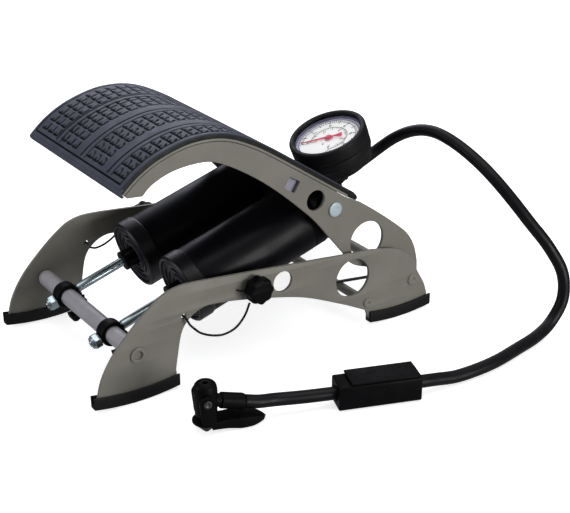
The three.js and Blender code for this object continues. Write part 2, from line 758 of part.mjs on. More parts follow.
// ---- hose, adapter box and valve head -------------------------------------------------------
// Between the ferrule and the box; the rest of the route follows the pieces it enters.
const HOSE_ROUTE = [
  [0.3, 128.4, 96.4],
  [1.8, 137.6, 101.4],
  [5.4, 145.4, 107.6],
  [13, 151.6, 115.6],
  [24.6, 155.8, 123.2],
  [37.5, 158.6, 128.2],
  [49.4, 160.2, 130],
  [61, 161, 129.6],
  [77.3, 162, 126.5],
  [97.3, 163.6, 119.6],
  [113.7, 166.4, 110.2],
  [127.7, 171.6, 97.4],
  [139.5, 178.6, 82.6],
  [151, 188, 65.2],
  [159, 196, 45],
  [161.5, 195.5, 25],
  [162, 184.4, 9.6],
  [165.5, 168.2, 4.9],
  [171.5, 142.8, 4.7],
  [176.5, 118.3, 4.7],
  [177.8, 98, 4.7],
  [177, 80, 5],
  [175.8, 65, 7.4],
];

function boxPoint(along) {
  const turn = -BOX_TURN;
  return [BOX_AT[0] + along * Math.sin(turn), BOX_AT[1] + along * Math.cos(turn), BOX_AT[2]];
}

// A point on the axis of the valve's inlet, `along` mm from the head's own axis.
function inletPoint(along) {
  const level = along * Math.cos(INLET_SLOPE);
  return [
    VALVE_AT[0] - level * Math.sin(VALVE_TURN),
    VALVE_AT[1] + level * Math.cos(VALVE_TURN),
    VALVE_AT[2] + INLET_Z + along * Math.sin(INLET_SLOPE),
  ];
}

function ferruleEnd(beyond) {
  const station = MANIFOLD_REAR + GAP + 10 + GAP + beyond;
  return [
    0,
    FRONT_TUBE[0] + station * Math.cos(BARREL_TILT) - MANIFOLD_AXIS * Math.sin(BARREL_TILT),
    FRONT_TUBE[1] + station * Math.sin(BARREL_TILT) + MANIFOLD_AXIS * Math.cos(BARREL_TILT),
  ];
}

function hoseRoute() {
  return [
    ferruleEnd(0),
    ferruleEnd(4),
    ...HOSE_ROUTE,
    boxPoint(30),
    boxPoint(15),
    boxPoint(0),
    boxPoint(-15),
    boxPoint(-30),
    [148.6, -25, 10.5],
    [142.4, -45, 12],
    inletPoint(36),
    inletPoint(27),
  ];
}

function addAdapterBox() {
  const frame = new THREE.Group();
  frame.position.set(...BOX_AT);
  frame.rotation.z = BOX_TURN;
  pump.add(frame);
  const halfX = BOX_WIDTH / 2;
  const halfY = BOX_LENGTH / 2;
  const halfZ = BOX_HEIGHT / 2;
  const corner = 2.2;
  const section = [
    ...arc([halfX - corner, halfZ - corner], corner, 0, 90, 4),
    ...arc([corner - halfX, halfZ - corner], corner, 90, 180, 4),
    ...arc([corner - halfX, corner - halfZ], corner, 180, 270, 4),
    ...arc([halfX - corner, corner - halfZ], corner, 270, 360, 4),
  ];
  const shape = new THREE.Shape(vectors(section));
  const shell = new THREE.ExtrudeGeometry(shape, { depth: BOX_LENGTH, bevelEnabled: false });
  shell.rotateX(Math.PI / 2).translate(0, halfY, 0);
  const bore = rod(HOSE_R + 0.6, -60, 60, "y", [0, 0, 0], 20);
  const store = block([-7.6, 7.6], [-20, 20], [1.6, 20]);
  add("adapter_box", cut(shell, bore, store), "plastic", frame);
  const cover = block([-halfX - 0.4, halfX + 0.4], [-20.6, 27.4], [halfZ + GAP, halfZ + 1.8]);
  const plug = block([-7.2, 7.2], [-19.6, 19.6], [6.4, halfZ + 1]);
  add("adapter_box_lid", join(cover, plug), "plastic", frame);
}

// Lock-on valve head: it stands upright, with its mouth on top and its lever folded under the hose.
function addValve() {
  const frame = new THREE.Group();
  frame.position.set(...VALVE_AT);
  frame.rotation.z = VALVE_TURN;
  pump.add(frame);
  const mouth = 4.1;
  const barrel = turned(
    [
      [0, 9.4],
      [3, 9.9],
      [5.5, 11],
      [7.3, 12.5],
      [7.4, 16],
      [7.7, 24],
      [VALVE_R, 30.5],
      [7.2, 34],
      [5.6, 35.7],
      [mouth, 36],
      [mouth, 28.8],
      [0, 28.8],
    ],
    "z",
    [0, 0, 0],
    28,
  );
  const slope = (geometry) => geometry.rotateX(INLET_SLOPE).translate(0, 0, INLET_Z);
  const stub = slope(rod(4.4, 5, 9.6, "y", [0, 0, 0], 20));
  const pinHole = rod(2.1, -20, 20, "x", [0, ...LEVER_PIN], 16);
  add("valve_head", cut(join(barrel, stub), pinHole), "plastic", frame);
  add("valve_seal", ring(2.2, mouth - GAP, 30, 35.6, "z", [0, 0, 0], 20), "rubber", frame);
  const sleeve = [
    [0, 9.9],
    [5.4, 9.9],
    [5.4, 25],
    [4.8, 26.6],
    [0, 26.6],
  ];
  add("valve_sleeve", slope(turned(sleeve, "y", [0, 0, 0], 24)), "plastic", frame);
  add("valve_lever", valveLever(), "plastic", frame);
  const rivet = [
    [0, -10.1],
    [1.8, -10.1],
    [1.8, 10.3],
    [2.7, 10.3],
    [2.7, 11],
    [1.4, 11],
    [1, 10.4],
    [0, 10.4],
  ];
  add("lever_pin", turned(rivet, "x", [0, ...LEVER_PIN], 20), "zinc", frame);
}

// Two cheeks round the head, a conical cup under it, and a leaf-shaped thumb tab.
function valveLever() {
  const cheekOutline = [
    ...arc(LEVER_PIN, 5.2, -10, 190, 12),
    [-5.4, 11],
    [-3.6, 7.9],
    [3.6, 7.9],
    [4.2, 11],
  ];
  const cheeks = SIDES.map(([, sign]) => sheetAcross(cheekOutline, ...across(sign, 8.4, 10)));
  const cup = turned([[0, 0], [1.6, 0], [8.1, 6.6], [9.3, 7.5], [9.3, 8.9], [0, 8.9]]);
  const plan = [[-7.8, 1], [-6.6, 12], [-7.4, 22], [-6.6, 31], [-3.4, 38], [0, 40.2]];
  const otherSide = plan.slice(0, -1).map(([x, y]) => [-x, y]);
  const leafPlan = [...smooth(plan, 14), ...smooth(otherSide, 14).reverse()];
  const upper = [[2, 8.3], [10, 8.8], [20, 8.7], [28, 8], [34, 6.6], [40.4, 3.4]];
  const lower = [[40.4, 2.4], [32, 1.2], [22, 1.2], [14, 2.4], [2, 4]];
  const side = sheetAcross([...smooth(upper, 10), ...smooth(lower, 8)], -12, 12);
  const leaf = geometryOf(solid(slabUp(leafPlan, 0, 12)).intersect(solid(side)));
  const pinHole = rod(2.1, -20, 20, "x", [0, ...LEVER_PIN], 16);
  return cut(join(...cheeks, cup, leaf), pinHole);
}

addBase();
addPedal();
addRods();
addBarrels();
addGauge();
addLocks();
add("hose", tube(hoseRoute(), HOSE_R, 8, 56), "rubber");
addAdapterBox();
addValve();

export default pump;
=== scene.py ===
from math import atan2, cos, hypot, pi, radians, sin, sqrt

import bmesh
import bpy
import numpy as np
from mathutils import Matrix, Vector
from numpy.linalg import norm


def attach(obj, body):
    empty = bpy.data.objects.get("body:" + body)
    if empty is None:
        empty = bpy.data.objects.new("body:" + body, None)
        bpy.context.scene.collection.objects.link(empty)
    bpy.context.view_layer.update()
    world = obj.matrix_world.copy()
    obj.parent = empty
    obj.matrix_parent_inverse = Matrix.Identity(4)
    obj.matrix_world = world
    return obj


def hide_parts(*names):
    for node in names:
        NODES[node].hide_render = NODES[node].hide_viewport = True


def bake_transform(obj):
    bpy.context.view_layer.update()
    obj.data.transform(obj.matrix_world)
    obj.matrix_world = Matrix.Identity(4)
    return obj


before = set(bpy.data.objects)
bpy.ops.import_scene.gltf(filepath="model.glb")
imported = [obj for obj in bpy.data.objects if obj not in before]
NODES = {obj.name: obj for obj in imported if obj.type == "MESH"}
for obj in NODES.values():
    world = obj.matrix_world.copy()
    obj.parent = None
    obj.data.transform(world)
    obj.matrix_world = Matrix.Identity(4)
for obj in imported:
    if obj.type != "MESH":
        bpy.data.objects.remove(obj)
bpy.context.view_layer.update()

MM = 0.001
shift = Matrix.Translation

# ---- shared dimensions, in millimetres, as in the part ----
GAP = 0.3
SHEET = 2.5
BASE_HALF = 75
PEDAL_HALF = 68.5
PIVOT = (124.4, 26.8)
STOP_BAR = (82.3, 19)
FRONT_TUBE = (-108.3, 34.1)
CYLINDER_PIN = (56.2, 97.7)
LOCK = (-17.3, 60)
LATCH_HOLE = (19.9, 124)
LATCH_TURN = radians(-32)
TETHER_HOLE = (-72.6, 52.6)
BARREL_TILT = radians(17.2)
BARREL_X = 35.3
GAUGE_AT = (0, 97.6, 127.9)
GAUGE_TILT = radians(22)
NEEDLE_ANGLE = radians(229.5)
BOX_AT = (164.7, 22.5, 9.7)
BOX_TURN = radians(-19.7)
VALVE_AT = (133, -91, 0)
VALVE_TURN = radians(-14)
INLET_Z = 23
MANIFOLD_AXIS = -10.4
BALL_R = 3.2
BALL_STATION = 197
FERRULE = 220.3
INLET_SLOPE = radians(-14)
HOSE_R = 4.5
SIDES = (("left", -1), ("right", 1))

# ---- camera ----
CAMERA_AT = Vector((0.7509, -0.4419, 0.4460))
AZIMUTH = radians(56.28)
ELEVATION = radians(24.51)
ROLL = radians(-0.34)
SENSOR = 36
LENS = 81.25


def placed(name, data):
    obj = bpy.data.objects.new(name, data)
    bpy.context.scene.collection.objects.link(obj)
    return obj


def add_camera():
    flat = cos(ELEVATION)
    back = Vector((sin(AZIMUTH) * flat, -cos(AZIMUTH) * flat, sin(ELEVATION)))
    level = Vector((cos(AZIMUTH), sin(AZIMUTH), 0))
    up = back.cross(level)
    right = cos(ROLL) * level + sin(ROLL) * up
    top = -sin(ROLL) * level + cos(ROLL) * up
    data = bpy.data.cameras.new("camera")
    data.sensor_fit = "HORIZONTAL"
    data.sensor_width, data.lens, data.clip_end = SENSOR, LENS, 50
    camera = placed("camera", data)
    turn = Matrix((right, top, back)).transposed().to_4x4()
    camera.matrix_world = shift(CAMERA_AT) @ turn
    bpy.context.scene.camera = camera


add_camera()


# ---- curves ----
def spline(points, steps=12):
    """Uniform Catmull-Rom curve through 2-D points, `steps` samples per span."""
    pts = [np.array(p, float) for p in points]
    out = []
    for i in range(len(pts) - 1):
        a, b, c, d = pts[max(i - 1, 0)], pts[i], pts[i + 1], pts[min(i + 2, len(pts) - 1)]
        for k in range(steps):
            t = k / steps
            square = (2 * a - 5 * b + 4 * c - d) * t * t
            out.append(0.5 * (2 * b + (c - a) * t + square + (3 * b - a - 3 * c + d) * t**3))
    out.append(pts[-1])
    return [tuple(p) for p in out]


def centripetal(points, steps=12):
    """Centripetal Catmull-Rom curve through 3-D points, open at both ends."""
    pts = [np.array(p, float) for p in points]
    pts = [2 * pts[0] - pts[1]] + pts + [2 * pts[-1] - pts[-2]]
    out = []
    for i in range(1, len(pts) - 2):
        p0, p1, p2, p3 = pts[i - 1 : i + 3]
        t0 = 0.0
        t1 = norm(p1 - p0) ** 0.5
        t2 = t1 + norm(p2 - p1) ** 0.5
        t3 = t2 + norm(p3 - p2) ** 0.5
        for k in range(steps):
            t = t1 + (t2 - t1) * k / steps
            a1 = (t1 - t) / (t1 - t0) * p0 + (t - t0) / (t1 - t0) * p1
            a2 = (t2 - t) / (t2 - t1) * p1 + (t - t1) / (t2 - t1) * p2
            a3 = (t3 - t) / (t3 - t2) * p2 + (t - t2) / (t3 - t2) * p3
            b1 = (t2 - t) / (t2 - t0) * a1 + (t - t0) / (t2 - t0) * a2
            b2 = (t3 - t) / (t3 - t1) * a2 + (t - t1) / (t3 - t1) * a3
            out.append((t2 - t) / (t2 - t1) * b1 + (t - t1) / (t2 - t1) * b2)
    out.append(pts[-2])
    return np.array(out)


def evenly(points, spacing):
    """The same line with points `spacing` apart."""
    points = np.array(points, float)
    steps = norm(np.diff(points, axis=0), axis=1)
    along = np.r_[0, np.cumsum(steps)]
    count = max(2, int(round(along[-1] / spacing)) + 1)
    at = np.linspace(0, along[-1], count)
    return np.stack([np.interp(at, along, points[:, k]) for k in range(points.shape[1])], 1)


def arc(centre, radius, start, end, steps):
    """Points on an arc, angles in degrees."""
    out = []
    for i in range(steps + 1):
        angle = radians(start + (end - start) * i / steps)
        out.append((centre[0] + radius * cos(angle), centre[1] + radius * sin(angle)))
    return out


# ---- materials ----
def linear(value):
    value /= 255
    return value / 12.92 if value <= 0.04045 else ((value + 0.055) / 1.055) ** 2.4


def colour(rgb):
    return (*[linear(c) for c in rgb], 1.0)


SPREAD = (0.3, 0.7)  # the part of a noise's range that is used


class Surface:
    """A Principled material whose tone, roughness and relief vary with object position."""

    def __init__(self, name, metallic=0.0, specular=0.5, coat=0.0):
        self.material = bpy.data.materials.new(name)
        self.material.use_nodes = True
        self.tree = self.material.node_tree
        self.shader = self.tree.nodes["Principled BSDF"]
        self.set("Metallic", metallic)
        self.set("Specular IOR Level", specular)
        self.set("Coat Weight", coat)
        self.set("Coat Roughness", 0.15)
        self.coordinates = self.node("TexCoord")
        self.normal = None

    def set(self, socket, value):
        self.shader.inputs[socket].default_value = value
        return self

    def link(self, a, b):
        self.tree.links.new(a, b)

    def node(self, kind, **values):
        made = self.tree.nodes.new("ShaderNode" + kind)
        for name, value in values.items():
            made.inputs[name.replace("_", " ")].default_value = value
        return made

    def noise(self, size_mm, detail=4.0, stretch=(1, 1, 1)):
        mapping = self.node("Mapping", Scale=stretch)
        self.link(self.coordinates.outputs["Object"], mapping.inputs["Vector"])
        node = self.node("TexNoise", Scale=1000 / size_mm, Detail=detail, Roughness=0.55)
        self.link(mapping.outputs["Vector"], node.inputs["Vector"])
        return node.outputs["Fac"]

    def ramp(self, value, low, high):
        node = self.node("ValToRGB")
        for stop, position, tint in zip(node.color_ramp.elements, SPREAD, (low, high)):
            stop.position = position
            stop.color = tint
        self.link(value, node.inputs["Fac"])
        return node.outputs["Color"]

    def tone(self, low, high, size_mm, **kw):
        mix = self.ramp(self.noise(size_mm, **kw), colour(low), colour(high))
        self.link(mix, self.shader.inputs["Base Color"])
        return self

    def darkened(self, attribute, rgb):
        """Fades the tone to `rgb` where the mesh's attribute is 1."""
        source = self.shader.inputs["Base Color"].links[0].from_socket
        value = self.node("Attribute")
        value.attribute_name = attribute
        mix = self.node("Mix")
        mix.data_type = "RGBA"
        colours = [socket for socket in mix.inputs if socket.type == "RGBA"]
        colours[1].default_value = colour(rgb)
        self.link(value.outputs["Fac"], mix.inputs["Factor"])
        self.link(source, colours[0])
        output = [socket for socket in mix.outputs if socket.type == "RGBA"][0]
        self.link(output, self.shader.inputs["Base Color"])
        return self

    def roughness(self, low, high, size_mm, **kw):
        node = self.node(
            "MapRange", From_Min=SPREAD[0], From_Max=SPREAD[1], To_Min=low, To_Max=high
        )
        self.link(self.noise(size_mm, **kw), node.inputs["Value"])
        self.link(node.outputs["Result"], self.shader.inputs["Roughness"])
        return self

    def relief(self, size_mm, depth_mm, strength):
        node = self.node("Bump", Distance=depth_mm * MM, Strength=strength)
        self.link(self.noise(size_mm), node.inputs["Height"])
        if self.normal is not None:
            self.link(self.normal, node.inputs["Normal"])
        self.normal = node.outputs["Normal"]
        self.link(self.normal, self.shader.inputs["Normal"])
        return self


FLOOR_GLOW = 0.72
# The dial glows faintly though it is no lamp: painted light that brightens it.
DIAL_PAINTED_GLOW = 0.3
WHITE = (1, 1, 1, 1)


# Metallic, specular and coat; the two tones, their size in mm and the noise's detail; the range
# of roughness and its size; and each bump's size, depth and strength.
SURFACES = {
    "grey_paint": ((0.1, 0.4, 0), ((132, 130, 122), (142, 140, 131), 26, 6),
        (0.42, 0.58, 9), [(1.1, 0.05, 0.5), (5, 0.05, 0.35)]),
    "tube_paint": ((0.15, 0.45, 0), ((176, 174, 178), (190, 188, 192), 18, 6),
        (0.36, 0.5, 7), [(1.2, 0.04, 0.4)]),
    "rivet_zinc": ((0.35, 0.5, 0), ((190, 212, 220), (214, 232, 238), 4, 8),
        (0.3, 0.42, 2), [(0.8, 0.01, 0.25)]),
    "latch_steel": ((0.2, 0.5, 0), ((150, 148, 168), (178, 176, 196), 5, 6),
        (0.4, 0.55, 3), [(0.8, 0.02, 0.3)]),
    "spring_steel": ((0.9, 0.5, 0), ((70, 70, 74), (112, 112, 116), 7, 4),
        (0.3, 0.5, 4), [(0.8, 0.03, 0.4)]),
    "black_enamel": ((0, 0.14, 0.03), ((6, 6, 11), (11, 11, 18), 30, 5),
        (0.34, 0.48, 16), [(7, 0.05, 0.3), (0.9, 0.02, 0.25)]),
    "black_plastic": ((0, 0.1, 0), ((5, 5, 7), (12, 12, 15), 9, 6),
        (0.38, 0.56, 4), [(0.7, 0.04, 0.45)]),
    "cap_plastic": ((0, 0.4, 0), ((11, 11, 16), (20, 20, 27), 7, 6),
        (0.3, 0.46, 3), [(0.7, 0.04, 0.4)]),
    # Lighter copy of the cap plastic for the cap's ridge tops: a painted highlight.
    "cap_ridge_highlight": ((0, 0.5, 0), ((58, 58, 70), (84, 84, 98), 6, 6),
        (0.3, 0.46, 3), [(0.7, 0.03, 0.3)]),
    "rubber": ((0, 0.25, 0), ((12, 12, 15), (20, 20, 24), 12, 7),
        (0.42, 0.62, 5), [(0.6, 0.04, 0.5), (4, 0.05, 0.25)]),
    "hose_rubber": ((0, 0.22, 0), ((10, 10, 14), (19, 19, 24), 10, 7),
        (0.34, 0.5, 6), [(0.7, 0.04, 0.5)]),
    "dial": ((0, 0.3, 0), ((243, 243, 243), (250, 250, 250), 9, 4),
        (0.35, 0.45, 5), [(1.5, 0.01, 0.1)]),
    "dial_rim": ((0, 0.5, 0), ((112, 110, 140), (146, 144, 172), 11, 4),
        (0.3, 0.42, 5), [(1.5, 0.02, 0.2)]),
    "needle": ((0, 0.4, 0), ((224, 56, 88), (238, 80, 108), 4, 4),
        (0.3, 0.42, 3), [(1, 0.01, 0.2)]),
}
PRINTS = {
    "print_black": ((14, 14, 20), (30, 30, 38)),
    "print_green": ((104, 134, 84), (124, 152, 100)),
    "print_red": ((186, 62, 76), (206, 84, 94)),
    "print_blue": ((46, 52, 92), (66, 72, 112)),
    "print_pale": ((196, 198, 226), (212, 214, 236)),
}


def make_materials():
    kit = {}
    for name, (shine, tone, roughness, bumps) in SURFACES.items():
        kit[name] = Surface(name, *shine).tone(*tone[:3], detail=tone[3]).roughness(*roughness)
        for bump in bumps:
            kit[name].relief(*bump)
    kit["zinc"] = (
        Surface("zinc", metallic=1.0)
        .tone((160, 176, 184), (198, 212, 218), 6, detail=8, stretch=(1, 0.25, 1))
        .roughness(0.14, 0.24, 3, stretch=(1, 0.2, 1))
        .relief(0.8, 0.004, 0.2)
    )
    kit["tread_rubber"] = (
        Surface("tread_rubber", specular=0.3)
        .tone((66, 70, 83), (79, 83, 97), 14, detail=8)
        # Painted shade: the tone turns near black where the groove attribute is 1, in the
        # grooves, towards the pad's edges and on its hidden walls.
        .darkened("groove", (3, 3, 6))
        .roughness(0.44, 0.62, 6)
        .relief(0.55, 0.05, 0.5)
    )
    kit["dial"].set("Emission Color", WHITE).set("Emission Strength", DIAL_PAINTED_GLOW)
    for name, (low, high) in PRINTS.items():
        kit[name] = Surface(name).tone(low, high, 5).roughness(0.4, 0.5, 3)
    glass = kit["glass"] = Surface("glass", specular=0.5).roughness(0.02, 0.05, 12)
    glass.set("Base Color", WHITE).set("Transmission Weight", 1.0).set("IOR", 1.05)
    floor = kit["floor"] = Surface("floor", specular=0.1)
    floor.tone((246, 246, 246), (250, 250, 250), 400).roughness(0.7, 0.8, 200)
    floor.set("Emission Color", WHITE).set("Emission Strength", FLOOR_GLOW)
    return {name: surface.material for name, surface in kit.items()}


MATERIALS = make_materials()


# ---- mesh helpers ----
def finish(obj, material, body=None, nodes=()):
    obj.data.materials.clear()
    obj.data.materials.append(MATERIALS[material])
    if body:
        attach(obj, body)
    if nodes:
        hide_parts(*nodes)
    return obj


def object_from(name, bm, smooth=35):
    """An object from a bmesh given in millimetres."""
    bmesh.ops.remove_doubles(bm, verts=bm.verts, dist=1e-4)
    bmesh.ops.recalc_face_normals(bm, faces=bm.faces)
    bmesh.ops.scale(bm, vec=(MM, MM, MM), verts=bm.verts)
    return object_of(name, mesh_named(name, bm), smooth)


def mesh_named(name, bm):
    mesh = bpy.data.meshes.new(name)
    bm.to_mesh(mesh)
    bm.free()
    return mesh


def object_of(name, mesh, smooth=35):
    if smooth:
        mesh.shade_smooth()
        mesh.set_sharp_from_angle(angle=radians(smooth))
    return placed(name, mesh)


def rounded(points, radius, steps=4, closed=False):
    """The outline with each corner replaced by a small arc-like curve."""
    pts = [np.array(p, float) for p in points]
    count = len(pts)
    out = []
    for i, p in enumerate(pts):
        if not closed and i in (0, count - 1):
            out.append(p)
            continue
        a, b = pts[i - 1], pts[(i + 1) % count]
        da, db = a - p, b - p
        la, lb = norm(da), norm(db)
        if la < 1e-9 or lb < 1e-9:
            continue
        cosine = float(np.clip(da @ db / (la * lb), -1, 1))
        if cosine < -0.985:
            out.append(p)
            continue
        cut = min(radius, 0.45 * la, 0.45 * lb)
        start, end = p + da / la * cut, p + db / lb * cut
        for k in range(steps + 1):
            t = k / steps
            out.append((1 - t) ** 2 * start + 2 * t * (1 - t) * p + t * t * end)
    return [tuple(q) for q in out]


def bridge(bm, rings, closed=False):
    """Joins rings of vertices with faces; a ring of one vertex is a pole."""
    pairs = list(zip(rings, rings[1:]))
    if closed:
        pairs.append((rings[-1], rings[0]))
    for a, b in pairs:
        count = max(len(a), len(b))
        for i in range(count):
            j = (i + 1) % count
            if count == 1:
                continue
            if len(a) == 1:
                bm.faces.new((a[0], b[j], b[i]))
            elif len(b) == 1:
                bm.faces.new((a[i], a[j], b[0]))
            else:
                bm.faces.new((a[i], a[j], b[j], b[i]))


def around(count):
    return [2 * pi * i / count for i in range(count)]


def lathe(name, profile, place, segments=72, closed=False, corner=0.0):
    """Turns [radius, station] about the local Z axis of `place` (millimetres)."""
    if corner:
        profile = rounded(profile, corner, closed=closed)
    bm = bmesh.new()
    rings = []
    for radius, station in profile:
        if radius < 1e-6:
            rings.append([bm.verts.new((0, 0, station))])
            continue
        ring = [(radius * cos(a), radius * sin(a), station) for a in around(segments)]
        rings.append([bm.verts.new(point) for point in ring])
    bridge(bm, rings, closed)
    bmesh.ops.transform(bm, matrix=place, verts=bm.verts)
    return object_from(name, bm)


def frame_at(origin, tilt=0.0, turn=0.0):
    turned = shift(origin) @ Matrix.Rotation(turn, 4, "Z")
    return turned @ Matrix.Rotation(tilt, 4, "X")


ALONG_X = Matrix.Rotation(pi / 2, 4, "Y")
ALONG_Y = Matrix.Rotation(-pi / 2, 4, "X")
BARREL_FRAME = frame_at((0, *FRONT_TUBE), BARREL_TILT)
GAUGE_FRAME = frame_at(GAUGE_AT, GAUGE_TILT)
VALVE_FRAME = frame_at(VALVE_AT, 0, VALVE_TURN)
BOX_FRAME = frame_at(BOX_AT, 0, BOX_TURN)


def across_axis(y, z):
    return shift((0, y, z)) @ ALONG_X


def barrel_axis(x, height=0.0):
    return BARREL_FRAME @ shift((x, 0, height)) @ ALONG_Y


WIDE_BEVEL = 1


def mesh_from(data):
    """The mesh of a curve or a text, whose own data is removed."""
    temp = placed(data.name, data)
    graph = bpy.context.evaluated_depsgraph_get()
    mesh = bpy.data.meshes.new_from_object(temp.evaluated_get(graph))
    bpy.data.objects.remove(temp)
    bpy.data.curves.remove(data)
    return mesh


def plate(name, outlines, depth, place, bevel=0.35, smooth=40):
    """Solid sheet: 2-D outlines (the first is the rim, the rest are holes), extruded +-depth/2
    along local Z of `place`, with rounded edges."""
    data = bpy.data.curves.new(name + "_curve", "CURVE")
    data.dimensions = "2D"
    data.fill_mode = "BOTH"
    for outline in outlines:
        line = data.splines.new("POLY")
        line.points.add(len(outline) - 1)
        for point, (a, b) in zip(line.points, outline):
            point.co = (a, b, 0, 1)
        line.use_cyclic_u = True
    data.extrude = depth / 2 - bevel
    data.bevel_depth = bevel
    data.bevel_resolution = 2
    data.offset = -bevel
    mesh = mesh_from(data)
    bm = bmesh.new()
    bm.from_mesh(mesh)
    bpy.data.meshes.remove(mesh)
    bmesh.ops.remove_doubles(bm, verts=bm.verts, dist=1e-4)
    bmesh.ops.transform(bm, matrix=place, verts=bm.verts)
    piece = object_from(name, bm, smooth)
    if bevel < WIDE_BEVEL:
        crisp_faces(piece.data)
    return piece


def crisp_faces(mesh):
    """Marks the rim of each broad flat face sharp, so its long triangles shade evenly."""
    bm = bmesh.new()
    bm.from_mesh(mesh)
    bm.normal_update()
    axis = max(bm.faces, key=lambda face: face.calc_area()).normal.copy()
    for edge in bm.edges:
        level = [abs(face.normal.dot(axis)) > 0.9999 for face in edge.link_faces]
        if len(set(level)) == 2:
            edge.smooth = False
    bm.to_mesh(mesh)
    bm.free()


# A plate's local X, Y, Z are the row frame's Y, Z, X.
SIDEWAYS = Matrix(((0, 0, 1, 0), (1, 0, 0, 0), (0, 1, 0, 0), (0, 0, 0, 1)))


def across(sign, inner, outer):
    return (inner, outer) if sign > 0 else (-outer, -inner)


def side_plate(name, outlines, span, bevel=0.35, smooth=40):
    middle = (span[0] + span[1]) / 2
    place = shift((middle, 0, 0)) @ SIDEWAYS
    return plate(name, outlines, abs(span[1] - span[0]), place, bevel, smooth)


def circle(y, z, radius, count=48):
    return arc((y, z), radius, 0, 360, count)[:-1]


def refine(node, width=0.4, segments=3, angle=28):
    """A copy of a CAD node's mesh with rounded edges."""
    bm = bmesh.new()
    bm.from_mesh(NODES[node].data)
    bmesh.ops.remove_doubles(bm, verts=bm.verts, dist=2e-6)
    flat, sharp = radians(0.8), radians(angle)
    bmesh.ops.dissolve_limit(
        bm, angle_limit=flat, verts=bm.verts, edges=bm.edges, delimit={"NORMAL"}
    )
    edges = [e for e in bm.edges if len(e.link_faces) == 2 and e.calc_face_angle(0) > sharp]
    shape = {"segments": segments, "profile": 0.5, "affect": "EDGES", "clamp_overlap": True}
    bmesh.ops.bevel(bm, geom=edges, offset=width * MM, **shape)
    bmesh.ops.triangulate(bm, faces=[f for f in bm.faces if len(f.verts) > 4])
    return object_of(node + "_fine", mesh_named(node + "_fine", bm), 40)


def refined(node, material, body, width=0.4, segments=3, angle=28):
    return finish(refine(node, width, segments, angle), material, body, [node])


def tube(name, line, radius, sides=16, span=None):
    """A round tube along a 3-D line in millimetres, or along the `span` of its points."""
    line = np.array(line, float)
    tangents = np.gradient(line, axis=0)
    tangents /= norm(tangents, axis=1)[:, None]
    side = np.cross(tangents[0], (0.0, 0.0, 1.0))
    if norm(side) < 0.1:
        side = np.cross(tangents[0], (1.0, 0.0, 0.0))
    side /= norm(side)
    bm = bmesh.new()
    rings = []
    first, last = span or (0, len(line) - 1)
    for i, (p, t) in enumerate(zip(line, tangents)):
        side = side - (side @ t) * t
        side /= norm(side)
        other = np.cross(t, side)
        if not first <= i <= last:
            continue
        outs = [cos(angle) * side + sin(angle) * other for angle in around(sides)]
        rings.append([bm.verts.new(p + radius * out) for out in outs])
    bridge(bm, rings)
    bm.faces.new(rings[0][::-1])
    bm.faces.new(rings[-1])
    return object_from(name, bm, 50)


def cord(piece, line, radius, **facts):
    """Works out the length of a tube along `line`, given in millimetres; nothing is done with it.
    """
    length = float(norm(np.diff(line, axis=0), axis=1).sum()) * MM


def joined(name, objects):
    """One object from several, which are removed."""
    bm = bmesh.new()
    for obj in objects:
        obj.data.transform(obj.matrix_world)
        bm.from_mesh(obj.data)
        mesh = obj.data
        bpy.data.objects.remove(obj)
        bpy.data.meshes.remove(mesh)
    return object_of(name, mesh_named(name, bm), 40)


# ---- base ----
FOOT_ARC_R = 180
FOOT_SOLE = 2.7
FRONT_FOOT = (-107, -142.7, -78)
REAR_FOOT = (113, 84, 141.8)


def foot_height(centre, y, lift):
    return FOOT_ARC_R - sqrt((FOOT_ARC_R - lift) ** 2 - (y - centre) ** 2)


def foot_arc(foot, start, end, lift, steps=16):
    ys = [start + (end - start) * i / steps for i in range(steps + 1)]
    return [(y, foot_height(foot[0], y, lift)) for y in ys]


def base_outline():
    sole = FOOT_SOLE + GAP
    front = [(-139.3, 10), (-134.8, 24.3), (-124.3, 40.5), (-106.3, 58.3)]
    shoulder = [(-92, 69.4), (-84, 73.4), (-74, 75.4), (-59, 74.9)]
    rear = [(85.5, 60.9), (103.3, 57.4), (115.5, 52), (124.5, 43.6)]
    heel = [(129.4, 33), (136.1, 21.2), (139.2, 12)]
    arch = [(81.4, 12.8), (57.2, 25), (21.9, 40.2), (-22.1, 50.9), (-48.1, 55)]
    leg = [(-58.5, 54.6), (-68, 49.6), (-74.6, 40.5), (-78.7, 21.4), (-80.2, 12)]
    return (
        spline(front + shoulder)
        + spline(rear + heel)
        + foot_arc(REAR_FOOT, 139.4, 84, sole)
        + spline(arch + leg)
        + foot_arc(FRONT_FOOT, -80.8, -139, sole)
    )


